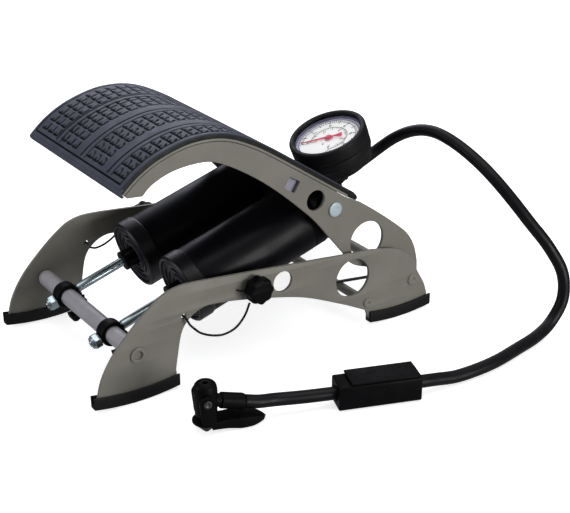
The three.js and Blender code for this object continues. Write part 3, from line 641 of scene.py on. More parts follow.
def build_base():
    holes = [
        (*FRONT_TUBE, 4.9), (*PIVOT, 3.3), (*STOP_BAR, 2.9), (7.4, 56.5, 7.7),
        (68.5, 42.8, 14.8), (*LOCK, 3), (*TETHER_HOLE, 1.8),
    ]
    for side, sign in SIDES:
        outlines = [base_outline()] + [circle(*h) for h in holes]
        span = across(sign, BASE_HALF - SHEET, BASE_HALF)
        piece = side_plate("base_side_" + side, outlines, span)
        finish(piece, "grey_paint", "base", ["base_plate_" + side])
        for end in ("front", "rear"):
            refined(f"foot_pad_{end}_{side}", "rubber", "base", 1.1, 4)
        refined("pivot_spacer_" + side, "black_plastic", "base", 0.3)
        build_spring(side, sign)
    inside = BASE_HALF - SHEET - GAP
    half = [
        (6.2, inside - 3), (5.2, inside), (4.6, inside), (4.6, BASE_HALF + GAP),
        (5.6, BASE_HALF + GAP), (5.6, BASE_HALF + 1.2), (3.4, BASE_HALF + 1.2),
        (3, BASE_HALF - 0.8), (0, BASE_HALF - 0.8),
    ]
    tube_piece = turned_bar("front_tube_fine", half, FRONT_TUBE, "tube_paint", "front_cross_tube")
    tube_piece.data.materials.append(MATERIALS["grey_paint"])
    for face in tube_piece.data.polygons:
        face.material_index = int(abs(face.center.x) > (BASE_HALF - SHEET) * MM)
    riveted("pivot_axle", 4, 3, 4.4, PIVOT)
    riveted("lower_cross_bar", 3.5, 2.6, 3.8, STOP_BAR)


def both_ends(half):
    """The profile of a bar that is the same at both ends, from its right half."""
    return [(r, -x) for r, x in half][::-1] + half


def turned_bar(name, half, at, material, node):
    piece = lathe(name, both_ends(half), across_axis(*at), 48, corner=0.35)
    return finish(piece, material, "base", [node])


def riveted(node, radius, neck, head, at):
    half = [
        (radius, BASE_HALF - SHEET - GAP), (neck, BASE_HALF - SHEET - GAP),
        (neck, BASE_HALF + GAP), (head, BASE_HALF + GAP), (head - 0.2, BASE_HALF + 0.9),
        (head - 0.7, BASE_HALF + 1.3), (head * 0.45, BASE_HALF + 1.3),
        (head * 0.3, BASE_HALF + 0.6), (0, BASE_HALF + 0.6),
    ]
    turned_bar(node + "_fine", half, at, "grey_paint", node)


def build_spring(side, sign):
    coil_r, wire, pitch, turns, start = 6.6, 1.2, 3.4, 3, 43
    points = [(sign * start, 74, 24.9), (sign * start, STOP_BAR[0], 24.1)]
    per_turn = 8
    for i in range(turns * per_turn + 1):
        angle = i / per_turn * 2 * pi - pi / 2
        y, z = PIVOT[0] + coil_r * cos(angle), PIVOT[1] + coil_r * sin(angle)
        points.append((sign * (start + pitch * i / per_turn), y, z))
    points.append((sign * (start + pitch * turns), PIVOT[0] - 16, PIVOT[1] - 4))
    piece = tube("spring_" + side, evenly(centripetal(points, 10), 1.6), wire, 12)
    finish(piece, "spring_steel", "base", ["return_spring_" + side])


# ---- pedal ----
DECK_SHEET = 1.8
DECK_REAR = 68
DECK_LINE = [
    (-109, 146.2), (-96.4, 156.4), (-79, 165), (-55.5, 170.3), (-31.2, 167.9), (-6.6, 156.6),
    (22.6, 137.3), (44, 122.6), (DECK_REAR, 106),
]


def deck(spacing=1.0):
    """Points on the deck's line and the square-out direction at each, in (y, z)."""
    line = evenly(spline(DECK_LINE, 40), spacing)
    tangent = np.gradient(line, axis=0)
    tangent /= norm(tangent, axis=1)[:, None]
    return line, np.stack([-tangent[:, 1], tangent[:, 0]], 1)


def deck_offset(offset):
    line, out = deck(3.0)
    return [tuple(p) for p in line + out * offset]


def pedal_outline():
    under = [(-95, 141.8), (-87.7, 148), (-73.5, 153.6), (-55.7, 155.5), (-40.3, 153.2)]
    throat = [(-19.5, 142.1), (5, 124.3), (35.1, 96.8), (50.3, 78.8), (64.2, 61.5)]
    heel = [(70.6, 52.6), (76.5, 48.4), (86.5, 44.6)]
    back = [(80, 97.4), (95.6, 86.2), (113.8, 71.8), (124, 62.2), (130.6, 51), (134, 38)]
    return (
        [(-105.8, 142.8)]
        + spline(under + throat + heel)
        + arc(PIVOT, 10, 232, 360, 24)
        + spline(back)[::-1]
        + deck_offset(-DECK_SHEET - GAP)[::-1]
    )


def latch_outline():
    corners = rounded(rectangle(5, 4.5), 0.8, closed=True)
    c, s = cos(LATCH_TURN), sin(LATCH_TURN)
    return [(LATCH_HOLE[0] + a * c - b * s, LATCH_HOLE[1] + a * s + b * c) for a, b in corners]


def rectangle(half_long, half_high):
    a, b = half_long, half_high
    return [(-a, -b), (a, -b), (a, b), (-a, b)]


def build_pedal():
    holes = [(39.9, 108, 7.6), (*CYLINDER_PIN, 3.9), (85.6, 66.3, 14.8), (*PIVOT, 4.3)]
    for side, sign in SIDES:
        outlines = [pedal_outline(), latch_outline()] + [circle(*h) for h in holes]
        span = across(sign, PEDAL_HALF - SHEET, PEDAL_HALF)
        piece = side_plate("pedal_side_" + side, outlines, span)
        finish(piece, "grey_paint", "pedal", ["pedal_side_plate_" + side])
    strip = deck_offset(0) + deck_offset(-DECK_SHEET)[::-1]
    piece = side_plate("pedal_deck", [strip], (-PEDAL_HALF, PEDAL_HALF), 0.3)
    finish(piece, "grey_paint", "pedal", ["pedal_top_plate"])
    finish(tread_pad(), "tread_rubber", "pedal", ["pedal_pad"])
    for side, sign in SIDES:
        nose = [rounded(PAD_NOSE, 0.5, closed=True)]
        piece = side_plate("pad_nose_" + side, nose, across(sign, NOSE_FROM, PEDAL_HALF), 0.3)
        finish(piece, "rubber", "pedal")
    lip = [rounded(deck_points(PAD_LIP), 0.6, closed=True)]
    piece = side_plate("pad_lip", lip, (-PEDAL_HALF, PEDAL_HALF), 0.5)
    finish(piece, "tread_rubber", "pedal")
    for side, sign in SIDES:
        liner = shift((sign * (PEDAL_HALF - SHEET - 1.6), 0, 0)) @ SIDEWAYS
        spot = frame_at((*LATCH_HOLE, 0), turn=LATCH_TURN)
        corners = rounded(rectangle(7.5, 7), 1.2, closed=True)
        piece = plate("latch_liner_" + side, [corners], 1.2, liner @ spot)
        finish(piece, "latch_steel", "pedal")
    half = [
        (3.6, PEDAL_HALF + GAP), (5.4, PEDAL_HALF + GAP), (5.4, PEDAL_HALF + 1.2),
        (5, PEDAL_HALF + 1.6), (0, PEDAL_HALF + 1.6),
    ]
    pin = lathe("cylinder_pin_fine", both_ends(half), across_axis(*CYLINDER_PIN), 48, corner=0.3)
    finish(pin, "rivet_zinc", "pedal", ["cylinder_pin"])


# The pad is rolled over the deck's rear edge on both sides of the gauge.
NOSE_FROM = 24
PAD_NOSE = [
    (67.8, 107.2), (68.6, 105.9), (68.6, 103.7), (74.6, 100.5), (75.6, 100.9), (76.1, 102.2),
    (75.5, 104), (73.2, 106.7), (70.2, 108.95), (69, 109.3),
]

# It is also rolled over the front edge: (along the line, out from it) from its first point.
PAD_LIP = [
    (1, 3.1), (-1.2, 3.1), (-2.3, 1.8), (-2.5, 0), (-2.2, -1.8), (-1.2, -2.4), (-0.3, -2),
    (-0.3, 0.3), (1, 0.3),
]


def deck_points(points):
    line, out = deck()
    along = np.array((out[0][1], -out[0][0]))
    return [tuple(line[0] + along * a + out[0] * b) for a, b in points]


# Tread, in (x, s): s runs over the pad from its front edge.
PAD_TOP = 3.6
PAD_EDGE = 1.4
TREAD_DEPTH = 1.5
TREAD_ROW = 7.5
BANDS = (-31.4, 7.0, 46.0)
BAND_HALF = 2.7
FIRST_ROW = 8.6
# Each panel's marks, and whether their long strokes are curved.
PANELS = (
    ((-58.5, -49.9, -41.3), False), ((-28.0, -19.5, -11.0), False), ((12.3, 20.4, 28.5), True),
    ((51.0, 58.6), True),
)


def groove(depth, x, s, points, half):
    """Lowers `depth`'s surface along a polyline of (x, s) points."""
    for (x0, s0), (x1, s1) in zip(points, points[1:]):
        reach = half + 0.6
        rows = (s[:, 0] > min(s0, s1) - reach) & (s[:, 0] < max(s0, s1) + reach)
        cols = (x[0] > min(x0, x1) - reach) & (x[0] < max(x0, x1) + reach)
        if not rows.any() or not cols.any():
            continue
        block = np.ix_(rows, cols)
        dx, ds = x1 - x0, s1 - s0
        along = ((x[block] - x0) * dx + (s[block] - s0) * ds) / (dx * dx + ds * ds)
        along = np.clip(along, 0, 1)
        away = np.hypot(x[block] - x0 - along * dx, s[block] - s0 - along * ds)
        wall = np.clip((half + 0.3 - away) / 0.5, 0, 1)
        depth[block] = np.maximum(depth[block], wall * wall * (3 - 2 * wall))


def tread_pad():
    step = 0.5
    line, out = deck(step)
    length = step * (len(line) - 1)
    count = int(round(2 * PEDAL_HALF / step)) + 1
    across_x = np.linspace(-PEDAL_HALF, PEDAL_HALF, count)
    x, s = np.meshgrid(across_x, np.linspace(0, length, len(line)))
    depth = np.zeros_like(x)
    inset = 4.2
    right, rear = PEDAL_HALF - inset, length - inset
    frame_line = [(-right, inset), (right, inset), (right, rear), (-right, rear), (-right, inset)]
    groove(depth, x, s, frame_line, 0.35)
    for centre in BANDS:
        for edge in (-BAND_HALF, BAND_HALF):
            groove(depth, x, s, [(centre + edge, 6.4), (centre + edge, rear - 3)], 0.55)
    rows = int((rear - FIRST_ROW - 6) / TREAD_ROW)
    for marks, curved in PANELS:
        for row in range(rows + 1):
            for x0 in marks:
                tread_mark(depth, x, s, x0, FIRST_ROW + row * TREAD_ROW, curved)
    rear_edge = np.where(np.abs(x) > NOSE_FROM, PAD_EDGE, length - s)
    edge = np.minimum.reduce([x + PEDAL_HALF, PEDAL_HALF - x, s, rear_edge])
    inward = np.clip(1 - edge / PAD_EDGE, 0, 1)
    drop = PAD_EDGE * (1 - np.sqrt(np.clip(1 - inward * inward, 0, 1)))
    height = PAD_TOP - TREAD_DEPTH * depth - drop
    y, z = (line[:, k][:, None] + out[:, k][:, None] * height for k in (0, 1))
    top = np.stack([x, y, z], -1)
    # Painted shade mask: the grooves, drawn wider than they are cut, and a rim darkening towards
    # the pad's side and rear edges.
    dark = np.maximum(np.clip(1.8 * depth, 0, 1), np.where(s > 2, inward**3, 0))
    return pad_mesh(top, line + out * GAP, dark)


def tread_mark(depth, x, s, x0, base, curved):
    """An L: a baseline, a small wedge on it, and one long tooth towards the rear."""
    groove(depth, x, s, [(x0 - 1.6, base), (x0 + 4.6, base)], 0.55)
    groove(depth, x, s, [(x0 + 0.6, base + 0.7), (x0 + 1.3, base + 1.6)], 0.5)
    if curved:
        bow = [(x0 + 4.7, base), (x0 + 5.0, base + 1.5), (x0 + 4.4, base + 3.1)]
        groove(depth, x, s, bow + [(x0 + 2.9, base + 4.6)], 0.6)
    else:
        groove(depth, x, s, [(x0 + 4.7, base), (x0 + 4.7, base + 4.8)], 0.65)


def pad_mesh(top, under, depth):
    """Closes the tread's top surface with side walls and an underside; `depth` is the painted
    shade mask, kept as the groove attribute.
    """
    rows, cols = top.shape[:2]
    vertices = top.reshape(-1, 3).tolist()
    faces = []
    for i in range(rows - 1):
        for j in range(cols - 1):
            a = i * cols + j
            faces.append((a, a + 1, a + cols + 1, a + cols))
    first = len(vertices)
    for i in range(rows):
        for sign in (-1, 1):
            vertices.append((sign * PEDAL_HALF, under[i][0], under[i][1]))
    for i in range(rows - 1):
        low = first + 2 * i
        a = i * cols
        b = a + cols - 1
        faces.append((a, a + cols, low + 2, low))
        faces.append((b + cols, b, low + 1, low + 3))
        faces.append((low, low + 2, low + 3, low + 1))
    faces.append(tuple(range(cols - 1, -1, -1)) + (first, first + 1))
    last = (rows - 1) * cols
    end = first + 2 * (rows - 1)
    faces.append(tuple(range(last, last + cols)) + (end + 1, end))
    mesh = bpy.data.meshes.new("tread_pad")
    mesh.from_pydata((np.array(vertices) * MM).tolist(), [], faces)
    mesh.validate()
    mesh.update()
    # The groove attribute holds painted shade; the side walls and underside are shaded in full.
    painted_shade_attribute = mesh.attributes.new("groove", "FLOAT", "POINT")
    hidden = len(vertices) - rows * cols
    painted_shade_attribute.data.foreach_set("value", np.r_[depth.ravel(), np.ones(hidden)].astype("f"))
    return object_of("tread_pad", mesh, 55)


# ---- rods and barrels ----
def build_rods():
    for side, sign in SIDES:
        axis = barrel_axis(sign * BARREL_X)
        rod = [
            (0, -16.5), (2, -16.5), (2.5, -15.8), (2.5, 9.3), (3.4, 9.3), (3.4, 107.7),
            (2.5, 107.7), (2.5, 122), (0, 122),
        ]
        piece = lathe("rod_" + side, rod, axis, 40, corner=0.25)
        finish(piece, "zinc", "rods", ["piston_rod_" + side])
        refined("rod_nut_" + side, "zinc", "rods")
        build_saddle(side, sign)
        edge = 22.4
        body = [(2.8, 108), (edge, 108), (edge, 112.9), (19.3, 112.9), (19.3, 117.5)]
        body += [(edge, 117.5), (edge, 121), (2.8, 121)]
        piece = lathe("piston_fine_" + side, body, axis, 64, True, 0.4)
        finish(piece, "black_plastic", "rods", ["piston_" + side])
        ring = [(19.6, 113.2), (22.7, 113.2), (22.7, 117.2), (19.6, 117.2)]
        piece = lathe("piston_ring_" + side, ring, axis, 64, True, 0.5)
        finish(piece, "rubber", "rods", ["piston_seal_" + side])


def build_saddle(side, sign):
    """Rounded eye on the front tube with a hanging tail; the rod passes through both."""
    place = BARREL_FRAME @ shift((sign * BARREL_X, 0, 0))
    eye = [(6.5, -5), (8.2, -5), (9, -4.2), (9.1, 0), (9, 4.2), (8.2, 5), (6.5, 5)]
    ring = lathe("eye", eye, place @ ALONG_X, 64, True, 0.7)
    tail = [(4, -6.6), (8.4, -2.6), (10, -3.4), (10.2, -8.2), (12, -10), (7, -17.5)]
    tail += [(3.4, -20.6), (-1.2, -22), (-4, -20.6), (-4, -15.6), (-0.5, -16.6), (2.8, -14.5)]
    spot = shift((0.5, 0, 0)) @ SIDEWAYS
    hook = plate("hook", [rounded(tail, 0.9, closed=True)], 9, place @ spot, 0.6)
    piece = joined("saddle_" + side, [ring, hook])
    finish(piece, "black_plastic", "rods", ["rod_saddle_" + side])


def build_barrels():
    for side, sign in SIDES:
        axis = barrel_axis(sign * BARREL_X)
        wall = 22.9
        shell = [(wall, 63), (25.1, 63), (25.1, 160), (wall, 160)]
        piece = lathe("barrel_fine_" + side, shell, axis, 128, True, 0.4)
        finish(piece, "black_enamel", "barrels", ["barrel_" + side])
        piece = lathe("cap_" + side, cap_profile(), axis, 128, True, 0.35)
        finish(piece, "cap_plastic", "barrels", ["front_cap_" + side])
        mark_ridges(piece, axis)
        gland = [(3.7, 48.8), (7.6, 48.8), (7.6, 50.8), (7, 50.8), (7, 67), (3.7, 67)]
        piece = lobed("gland_" + side, gland, axis)
        finish(piece, "black_plastic", "barrels", ["rod_gland_" + side])
    for node, width in (("cylinder_head", 0.7), ("outlet_manifold", 1.2)):
        refined(node, "black_plastic", "barrels", width, 3, 30)
    turns = [pi * i / 24 for i in range(25)]
    ball = [(BALL_R * sin(turn), -BALL_R * cos(turn)) for turn in turns]
    seat = barrel_axis(0, MANIFOLD_AXIS) @ shift((0, 0, BALL_STATION))
    ball = lathe("valve_ball", ball, seat, 32)
    finish(ball, "rubber", "barrels", ["check_valve_ball"])
    sleeve = [(2.4, 0), (7, 0), (7, 4), (6.4, 5), (6.4, 9), (5.6, 10), (2.4, 10)]
    rear = barrel_axis(0, MANIFOLD_AXIS) @ shift((0, 0, FERRULE))
    piece = lathe("ferrule", sleeve, rear, 48, True, 0.4)
    finish(piece, "black_plastic", "barrels", ["hose_ferrule"])


CAP_FACE = 57.4


def mark_ridges(piece, axis):
    """The tops of the ridges on the cap's face get a lighter material: a painted highlight where
    the ridges catch light.
    """
    piece.data.materials.append(MATERIALS["cap_ridge_highlight"])
    local = axis.inverted()
    for face in piece.data.polygons:
        middle = local @ (face.center / MM)
        on_ridge = hypot(middle.x, middle.y) < 22 and middle.z < CAP_FACE + 1.3
        face.material_index = int(on_ridge)


def cap_profile():
    face = CAP_FACE
    floor = face + 2.4
    bore = 7.3
    profile = [(bore, floor)]
    for radius in (9.6, 11.2, 15.0, 19.4, 21.0):
        profile += [(radius, floor), (radius + 0.15, face + 1.0)]
        profile += [(radius + 0.65, face + 1.0), (radius + 0.8, floor)]
    profile += [
        (22.9, floor), (23.4, face + 0.3), (24.2, face), (25.0, face), (26.1, face + 1.4),
        (26.1, 68.8), (25.6, 70), (25.4, 70), (25.4, 62.7), (bore, 62.7),
    ]
    return profile


def lobed(name, profile, axis):
    """A turned bush whose front flange has shallow notches round it."""
    piece = lathe(name, profile, axis, 72, True, 0.3)
    local = (axis.inverted() @ piece.matrix_world).to_4x4()
    for vertex in piece.data.vertices:
        p = local @ (vertex.co / MM)
        radius = hypot(p.x, p.y)
        if p.z < 51 and radius > 6.5:
            angle = atan2(p.y, p.x)
            dip = max(0.0, cos(6 * angle)) ** 6
            scale = (radius - 0.9 * dip) / radius
            q = axis @ Vector((p.x * scale, p.y * scale, p.z))
            vertex.co = q * MM
    return piece


# ---- gauge ----
def build_gauge():
    case = [
        (0, -28), (26.4, -28), (28.2, -26.4), (28.8, -19.6), (29.8, -18.8), (30, -12.5),
        (29.5, -11.8), (28.6, -11.8), (28.6, -4.2), (26.6, -4.2), (26.6, -13), (0, -13),
    ]
    bezel = [
        (28.9, -11.5), (29.8, -11.5), (30.2, -10.6), (30.3, -1.6), (29.7, -0.5), (28.4, 0),
        (26.6, -0.2), (25.8, -1.0), (25.7, -2.4), (27.2, -2.4), (27.2, -3.9), (28.9, -3.9),
    ]
    lens = [(0, -3.6), (26.9, -3.6), (26.9, -2.7), (0, -2.7)]
    wall = [(25.3, -6.1), (26.3, -6.1), (26.3, -4.0), (25.9, -4.0)]
    face = [(1.2, -7), (26.2, -7), (26.2, -6.2), (1.2, -6.2)]
    turned = [
        ("gauge_cup", case, 128, False, 0.5, "rubber", ["gauge_case"], "black_plastic"),
        ("gauge_rim", bezel, 128, True, 0.5, "rubber", ["gauge_bezel"], "black_plastic"),
        ("gauge_window", lens, 96, False, 0.1, "glass", ["gauge_lens"], None),
        ("gauge_inner_wall", wall, 96, True, 0.15, "dial_rim", (), "dial"),
        ("dial_face", face, 96, True, 0.1, "dial", ["gauge_dial"], None),
    ]
    for name, profile, segments, closed, corner, material, nodes, slot in turned:
        piece = lathe(name, profile, GAUGE_FRAME, segments, closed, corner)
        finish(piece, material, "barrels", nodes)
    dial_print()
    build_needle()


SCALE_START = 229.5
SCALE_SWEEP = 270
DIAL_TOP = -6.15
PRINT_HEIGHT = 0.12


def print_ring(name, inner, outer, start, end, material):
    """A printed arc on the dial, angles in degrees."""
    steps = 90
    outline = arc((0, 0), outer, start, end, steps) + arc((0, 0), inner, end, start, steps)
    place = GAUGE_FRAME @ shift((0, 0, DIAL_TOP + PRINT_HEIGHT / 2))
    piece = plate(name, [outline], PRINT_HEIGHT, place, 0.005)
    return finish(piece, material, "barrels")


def tick_marks(name, count, major, outer, short, long, width, material):
    """Radial ticks as one mesh of thin bars."""
    bm = bmesh.new()
    for i in range(count + 1):
        angle = radians(SCALE_START - SCALE_SWEEP * i / count)
        inner = outer - (long if i % major == 0 else short)
        wide = width * (1.6 if i % major == 0 else 1)
        radial = Vector((cos(angle), sin(angle), 0))
        side = Vector((-sin(angle), cos(angle), 0)) * wide / 2
        corners = [radial * inner - side, radial * outer - side]
        corners += [radial * outer + side, radial * inner + side]
        low = [bm.verts.new(c + Vector((0, 0, DIAL_TOP))) for c in corners]
        high = [bm.verts.new(c + Vector((0, 0, DIAL_TOP + PRINT_HEIGHT))) for c in corners]
        bm.faces.new(low[::-1])
        bm.faces.new(high)
        bridge(bm, [low, high])
    bmesh.ops.transform(bm, matrix=GAUGE_FRAME, verts=bm.verts)
    piece = object_from(name, bm, 0)
    return finish(piece, material, "barrels")


def numerals(name, values, radius, size, material):
    """The numbers of one scale as one mesh."""
    pieces = []
    for i, value in enumerate(values):
        angle = radians(SCALE_START - SCALE_SWEEP * i / (len(values) - 1))
        data = bpy.data.curves.new(f"{name}_{value}", "FONT")
        data.body = str(value)
        data.size = size
        data.align_x = "CENTER"
        data.align_y = "CENTER"
        data.extrude = 0.05
        mesh = mesh_from(data)
        spot = (radius * cos(angle), radius * sin(angle), DIAL_TOP + 0.06)
        mesh.transform(Matrix.Scale(MM, 4) @ GAUGE_FRAME @ shift(spot))
        pieces.append(object_of(f"{name}_{value}", mesh, 0))
    return finish(joined(name, pieces), material, "barrels")


def dial_print():
    end = SCALE_START - SCALE_SWEEP
    print_ring("dial_pale_band", 23.9, 25.1, 0, 359.9, "print_pale")
    print_ring("dial_blue_ring", 23.4, 23.9, 0, 359.9, "print_blue")
    print_ring("dial_outer_arc", 20.9, 21.1, SCALE_START, end, "print_black")
    print_ring("dial_inner_arc", 14.3, 14.8, SCALE_START, end, "print_green")
    print_ring("dial_hub_ring", 2.6, 3.4, 0, 359.9, "print_pale")
    spot = GAUGE_FRAME @ shift((1.5, -7, DIAL_TOP))
    stud = lathe("dial_stud", [(0, 0), (1.1, 0), (1.1, 0.2), (0.6, 0.5), (0, 0.5)], spot, 32)
    finish(stud, "zinc", "barrels")
    tick_marks("dial_outer_ticks", 60, 5, 22.9, 2.1, 3.8, 0.42, "print_black")
    tick_marks("dial_inner_ticks", 40, 5, 14.2, 1.5, 2.5, 0.34, "print_black")
    numerals("dial_outer_numbers", range(0, 13, 2), 17, 4.6, "print_black")
    numerals("dial_inner_numbers", range(0, 9, 2), 10.6, 3.6, "print_red")


def build_needle():
    place = GAUGE_FRAME @ Matrix.Rotation(NEEDLE_ANGLE, 4, "Z")
    pointer = [(22, 0.3), (22, -0.3), (3, -1), (-5, -0.8), (-7, -1.4), (-10.8, -2.5)]
    pointer += [(-10.8, 2.5), (-7, 1.4), (-5, 0.8), (3, 1)]
    outline = [rounded(pointer[::-1], 0.2, closed=True)]
    blade = plate("blade", outline, 0.5, place @ shift((0, 0, -4.65)), 0.1)
    hub = lathe("hub", [(0, -5.3), (2.8, -5.3), (2.8, -4.5), (2, -4.1), (0, -4.1)], place, 40)
    staff = lathe("staff", [(0, -12.6), (0.8, -12.6), (0.8, -5), (0, -5)], place, 20)
    piece = joined("needle_fine", [blade, hub, staff])
    finish(piece, "needle", "needle", ["gauge_needle"])


# ---- locking pins and tethers ----
KNOB_R = 9.4
KNOB_LOBE = 0.5


def rod_on(at, name, radius, span, segments):
    low, high = span
    profile = [(0, low), (radius, low), (radius, high), (0, high)]
    return lathe(name, profile, across_axis(*at), segments)


def build_locks():
    face = BASE_HALF + 0.6
    inner = PEDAL_HALF + 0.9
    for side, sign in SIDES:
        lobes = []
        for angle in around(160):
            radius = KNOB_R + KNOB_LOBE * cos(8 * angle)
            lobes.append((LOCK[0] + radius * cos(angle), LOCK[1] + radius * sin(angle)))
        knob = side_plate("knob", [lobes], across(sign, face + 1.5, face + 12), 2.2)
        collar = rod_on(LOCK, "collar", 6.5, across(sign, face, face + 2), 48)
        shank = rod_on(LOCK, "shank", 2.6, across(sign, inner, face + 1), 32)
        piece = joined("lock_knob_" + side, [knob, collar, shank])
        finish(piece, "black_plastic", "lock_pin_" + side, ["lock_pin_" + side])
        build_tether(side, sign)
        build_stub(side, sign)


# From under each knob in a hanging loop, then curled round into the hole in the leg.
TETHER_R = 0.8
TETHER_LOOPS = {
    "right": [
        (79.2, -23, 50.4), (79.3, -27.4, 41.7), (79.4, -34.6, 34.9), (79.4, -44, 32.5),
        (79.3, -53.1, 34.2), (79, -62.1, 38.6), (78.9, -66.8, 43.1),
    ],
    "left": [
        (79.2, -23, 50.4), (79.4, -32, 53.4), (79.4, -42, 51.6), (79.4, -50, 46.8),
        (79.3, -56.5, 44.2), (79, -63, 43.6), (78.9, -66.6, 44.9),
    ],
}
TETHER_CURL = [
    (78.8, -69.8, 46.6), (78.8, -71.45, 49.5), (77.83, -72.27, 51.69), (75.5, -72.6, 52.6),
    (73.5, -72.6, 52.6), (71, -72.6, 52.6),
]


def build_stub(side, sign):
    """The short spare end of the tether's clip, beside the knob."""
    line = [(sign * 76.2, -24 - 1.2 * k, 59.2 + 0.05 * k * k) for k in range(7)]
    piece = tube("clip_end_" + side, line, 0.6, 12)
    finish(piece, "rubber", "base")


def build_tether(side, sign):
    points = TETHER_LOOPS[side] + TETHER_CURL
    line = evenly(centripetal([(sign * x, y, z) for x, y, z in points], 14), 0.8)
    piece = tube("tether_line_" + side, line, TETHER_R, 16)
    finish(piece, "rubber", "base", ["tether_" + side])
    cord(piece, line, TETHER_R, far_end="object", stiffness="limp", lay="hanging")


# ---- hose, adapter box and valve head ----
HOSE_ROUTE = [
    (0.3, 128.4, 96.4), (1.8, 137.6, 101.4), (5.4, 145.4, 107.6), (13, 151.6, 115.6),
    (24.6, 155.8, 123.2), (37.5, 158.6, 128.2), (49.4, 160.2, 130), (61, 161, 129.6),
    (77.3, 162, 126.5), (97.3, 163.6, 119.6), (113.7, 166.4, 110.2), (127.7, 171.6, 97.4),
    (139.5, 178.6, 82.6), (151, 188, 65.2), (159, 196, 45), (161.5, 195.5, 25),
    (162, 184.4, 9.6), (165.5, 168.2, 4.9), (171.5, 142.8, 4.7), (176.5, 118.3, 4.7),
    (177.8, 98, 4.7), (177, 80, 5), (175.8, 65, 7.4),
]
HOSE_SPLIT = (49.4, 160.2, 130)


def ferrule_end(beyond):
    return tuple(BARREL_FRAME @ Vector((0, FERRULE + 10 + GAP + beyond, MANIFOLD_AXIS)))


def inlet_point(along):
    level = along * cos(INLET_SLOPE)
    return (
        VALVE_AT[0] - level * sin(VALVE_TURN),
        VALVE_AT[1] + level * cos(VALVE_TURN),
        VALVE_AT[2] + INLET_Z + along * sin(INLET_SLOPE),
    )


def build_hose():
    route = [ferrule_end(0), ferrule_end(4), *HOSE_ROUTE]
    route += [tuple(BOX_FRAME @ Vector((0, along, 0))) for along in (30, 15, 0, -15, -30)]
    route += [(148.6, -25, 10.5), (142.4, -45, 12), inlet_point(36), inlet_point(27)]
    line = evenly(centripetal(route, 14), 2.0)
    cut = int(np.argmin(norm(line - np.array(HOSE_SPLIT), axis=1)))
    upper = tube("hose_upper", line, HOSE_R, 32, (0, cut))
    lower = tube("hose_lower", line, HOSE_R, 32, (cut, len(line) - 1))
    finish(upper, "hose_rubber")
    finish(lower, "hose_rubber")
    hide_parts("hose")
    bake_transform(upper)
    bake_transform(lower)
    for piece, part, end in ((upper, line[: cut + 1], "object"), (lower, line[cut:], "fitting")):
        pieces = list(ON_HOSE) if piece is lower else []
        facts = {"far_end": end, "stiffness": "medium", "lay": "loose", "with_pieces": pieces}
        cord(piece, part, HOSE_R, **facts)


ON_HOSE = []


def build_box_and_valve():
    box = refined("adapter_box", "black_plastic", "base", 1.4, 4)
    lid = refined("adapter_box_lid", "black_plastic", "base", 0.7, 4)
    head = [
        (0, 9.4), (3, 9.9), (5.5, 11), (7.3, 12.5), (7.4, 16), (7.7, 24), (7.8, 30.5),
        (7.2, 34), (5.6, 35.7), (4.1, 36), (4.1, 28.8), (0, 28.8),
    ]
    shell = lathe("shell", head, VALVE_FRAME, 72, corner=1.2)
    slope = VALVE_FRAME @ shift((0, 0, INLET_Z)) @ Matrix.Rotation(INLET_SLOPE, 4, "X")
    stub = lathe("stub", [(0, 5), (4.4, 5), (4.4, 9.6), (0, 9.6)], slope @ ALONG_Y, 40)
    body = joined("valve_body", [shell, stub])
    finish(body, "black_plastic", "base", ["valve_head"])
    seal = [(2.2, 30), (3.8, 30), (3.8, 35.6), (2.2, 35.6)]
    seal = lathe("valve_gasket", seal, VALVE_FRAME, 40, True, 0.5)
    finish(seal, "rubber", "base", ["valve_seal"])
    sleeve = [(0, 9.9), (5.4, 9.9), (5.4, 25), (4.8, 26.6), (0, 26.6)]
    sleeve = lathe("valve_collar", sleeve, slope @ ALONG_Y, 48, corner=0.7)
    finish(sleeve, "black_plastic", "base", ["valve_sleeve"])
    lever = refined("valve_lever", "black_plastic", "valve_lever", 0.6, 3, 30)
    pin = refined("lever_pin", "spring_steel", "base", 0.15, 2, 30)
    ON_HOSE.extend([box, lid, body, seal, sleeve, lever, pin])


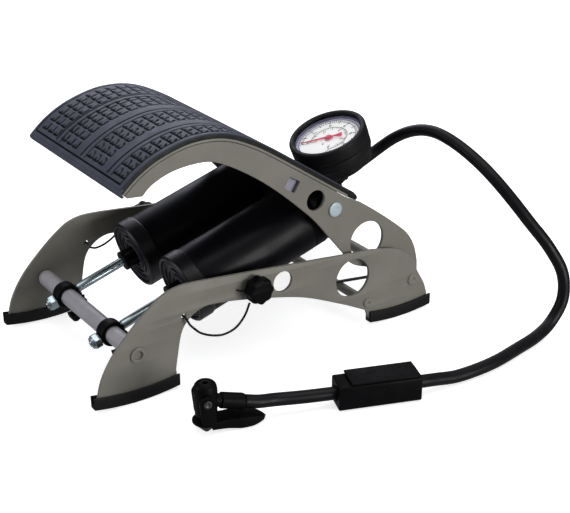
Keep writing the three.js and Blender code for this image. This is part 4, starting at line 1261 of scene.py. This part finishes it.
# ---- stage and light ----
def build_stage():
    bm = bmesh.new()
    bmesh.ops.create_grid(bm, x_segments=8, y_segments=8, size=6)
    mesh = mesh_named("floor", bm)
    floor = object_of("floor", mesh, 0)
    floor.location.z = -0.0002
    mesh.materials.append(MATERIALS["floor"])
    floor.visible_diffuse = False
    floor.visible_glossy = False
    build_sky()
    softbox("top", (0.1, 0.1, 1.5), (0, 0, 0.05), 1.4, 8.5, (1, 1, 1))
    softbox("side", (1.55, 0.45, 0.16), (0, 0, 0.08), 0.8, 16.5, (1, 0.99, 0.97))
    softbox("front", (-0.5, -1.5, 0.4), (0, 0, 0.08), 0.8, 7, (0.92, 0.92, 1))
    softbox("back", (-1.1, 0.5, 0.7), (0, 0, 0.1), 0.9, 5, (0.86, 0.87, 1))
    bpy.context.scene.view_settings.view_transform = "Standard"


SKY_STRENGTH = 0.5
SKY_BELOW = (0.6, 0.6, 0.62, 1)
# (height, brightness): 0 is straight down, 1 is straight up.
SKY_LEVELS = ((0.36, 0.55), (0.42, 0.04), (0.54, 0.08), (0.65, 0.3), (0.95, 0.75))


def build_sky():
    """Bright overhead, dark at the horizon and below, so metal shows dark streaks."""
    world = bpy.data.worlds.new("world")
    world.use_nodes = True
    tree = world.node_tree
    coordinates, split, ramp, height = (
        tree.nodes.new("ShaderNode" + kind)
        for kind in ("TexCoord", "SeparateXYZ", "ValToRGB", "MapRange")
    )
    stops = ramp.color_ramp.elements
    for stop, position in zip(stops, (0.0, 0.3)):
        stop.position = position
        stop.color = SKY_BELOW
    for position, level in SKY_LEVELS:
        stops.new(position).color = (level, level, level, 1)
    height.inputs["From Min"].default_value = -1
    background = tree.nodes["Background"]
    background.inputs["Strength"].default_value = SKY_STRENGTH
    tree.links.new(coordinates.outputs["Generated"], split.inputs["Vector"])
    tree.links.new(split.outputs["Z"], height.inputs["Value"])
    tree.links.new(height.outputs["Result"], ramp.inputs["Fac"])
    tree.links.new(ramp.outputs["Color"], background.inputs["Color"])
    bpy.context.scene.world = world


def softbox(name, at, aim, size, energy, tint):
    data = bpy.data.lights.new(name, "AREA")
    data.color, data.energy, data.size = tint, energy, size
    lamp = placed(name, data)
    lamp.location = at
    direction = Vector(aim) - Vector(at)
    lamp.rotation_euler = direction.to_track_quat("-Z", "Y").to_euler()


build_base()
build_pedal()
build_rods()
build_barrels()
build_gauge()
build_locks()
build_box_and_valve()
build_hose()
build_stage()
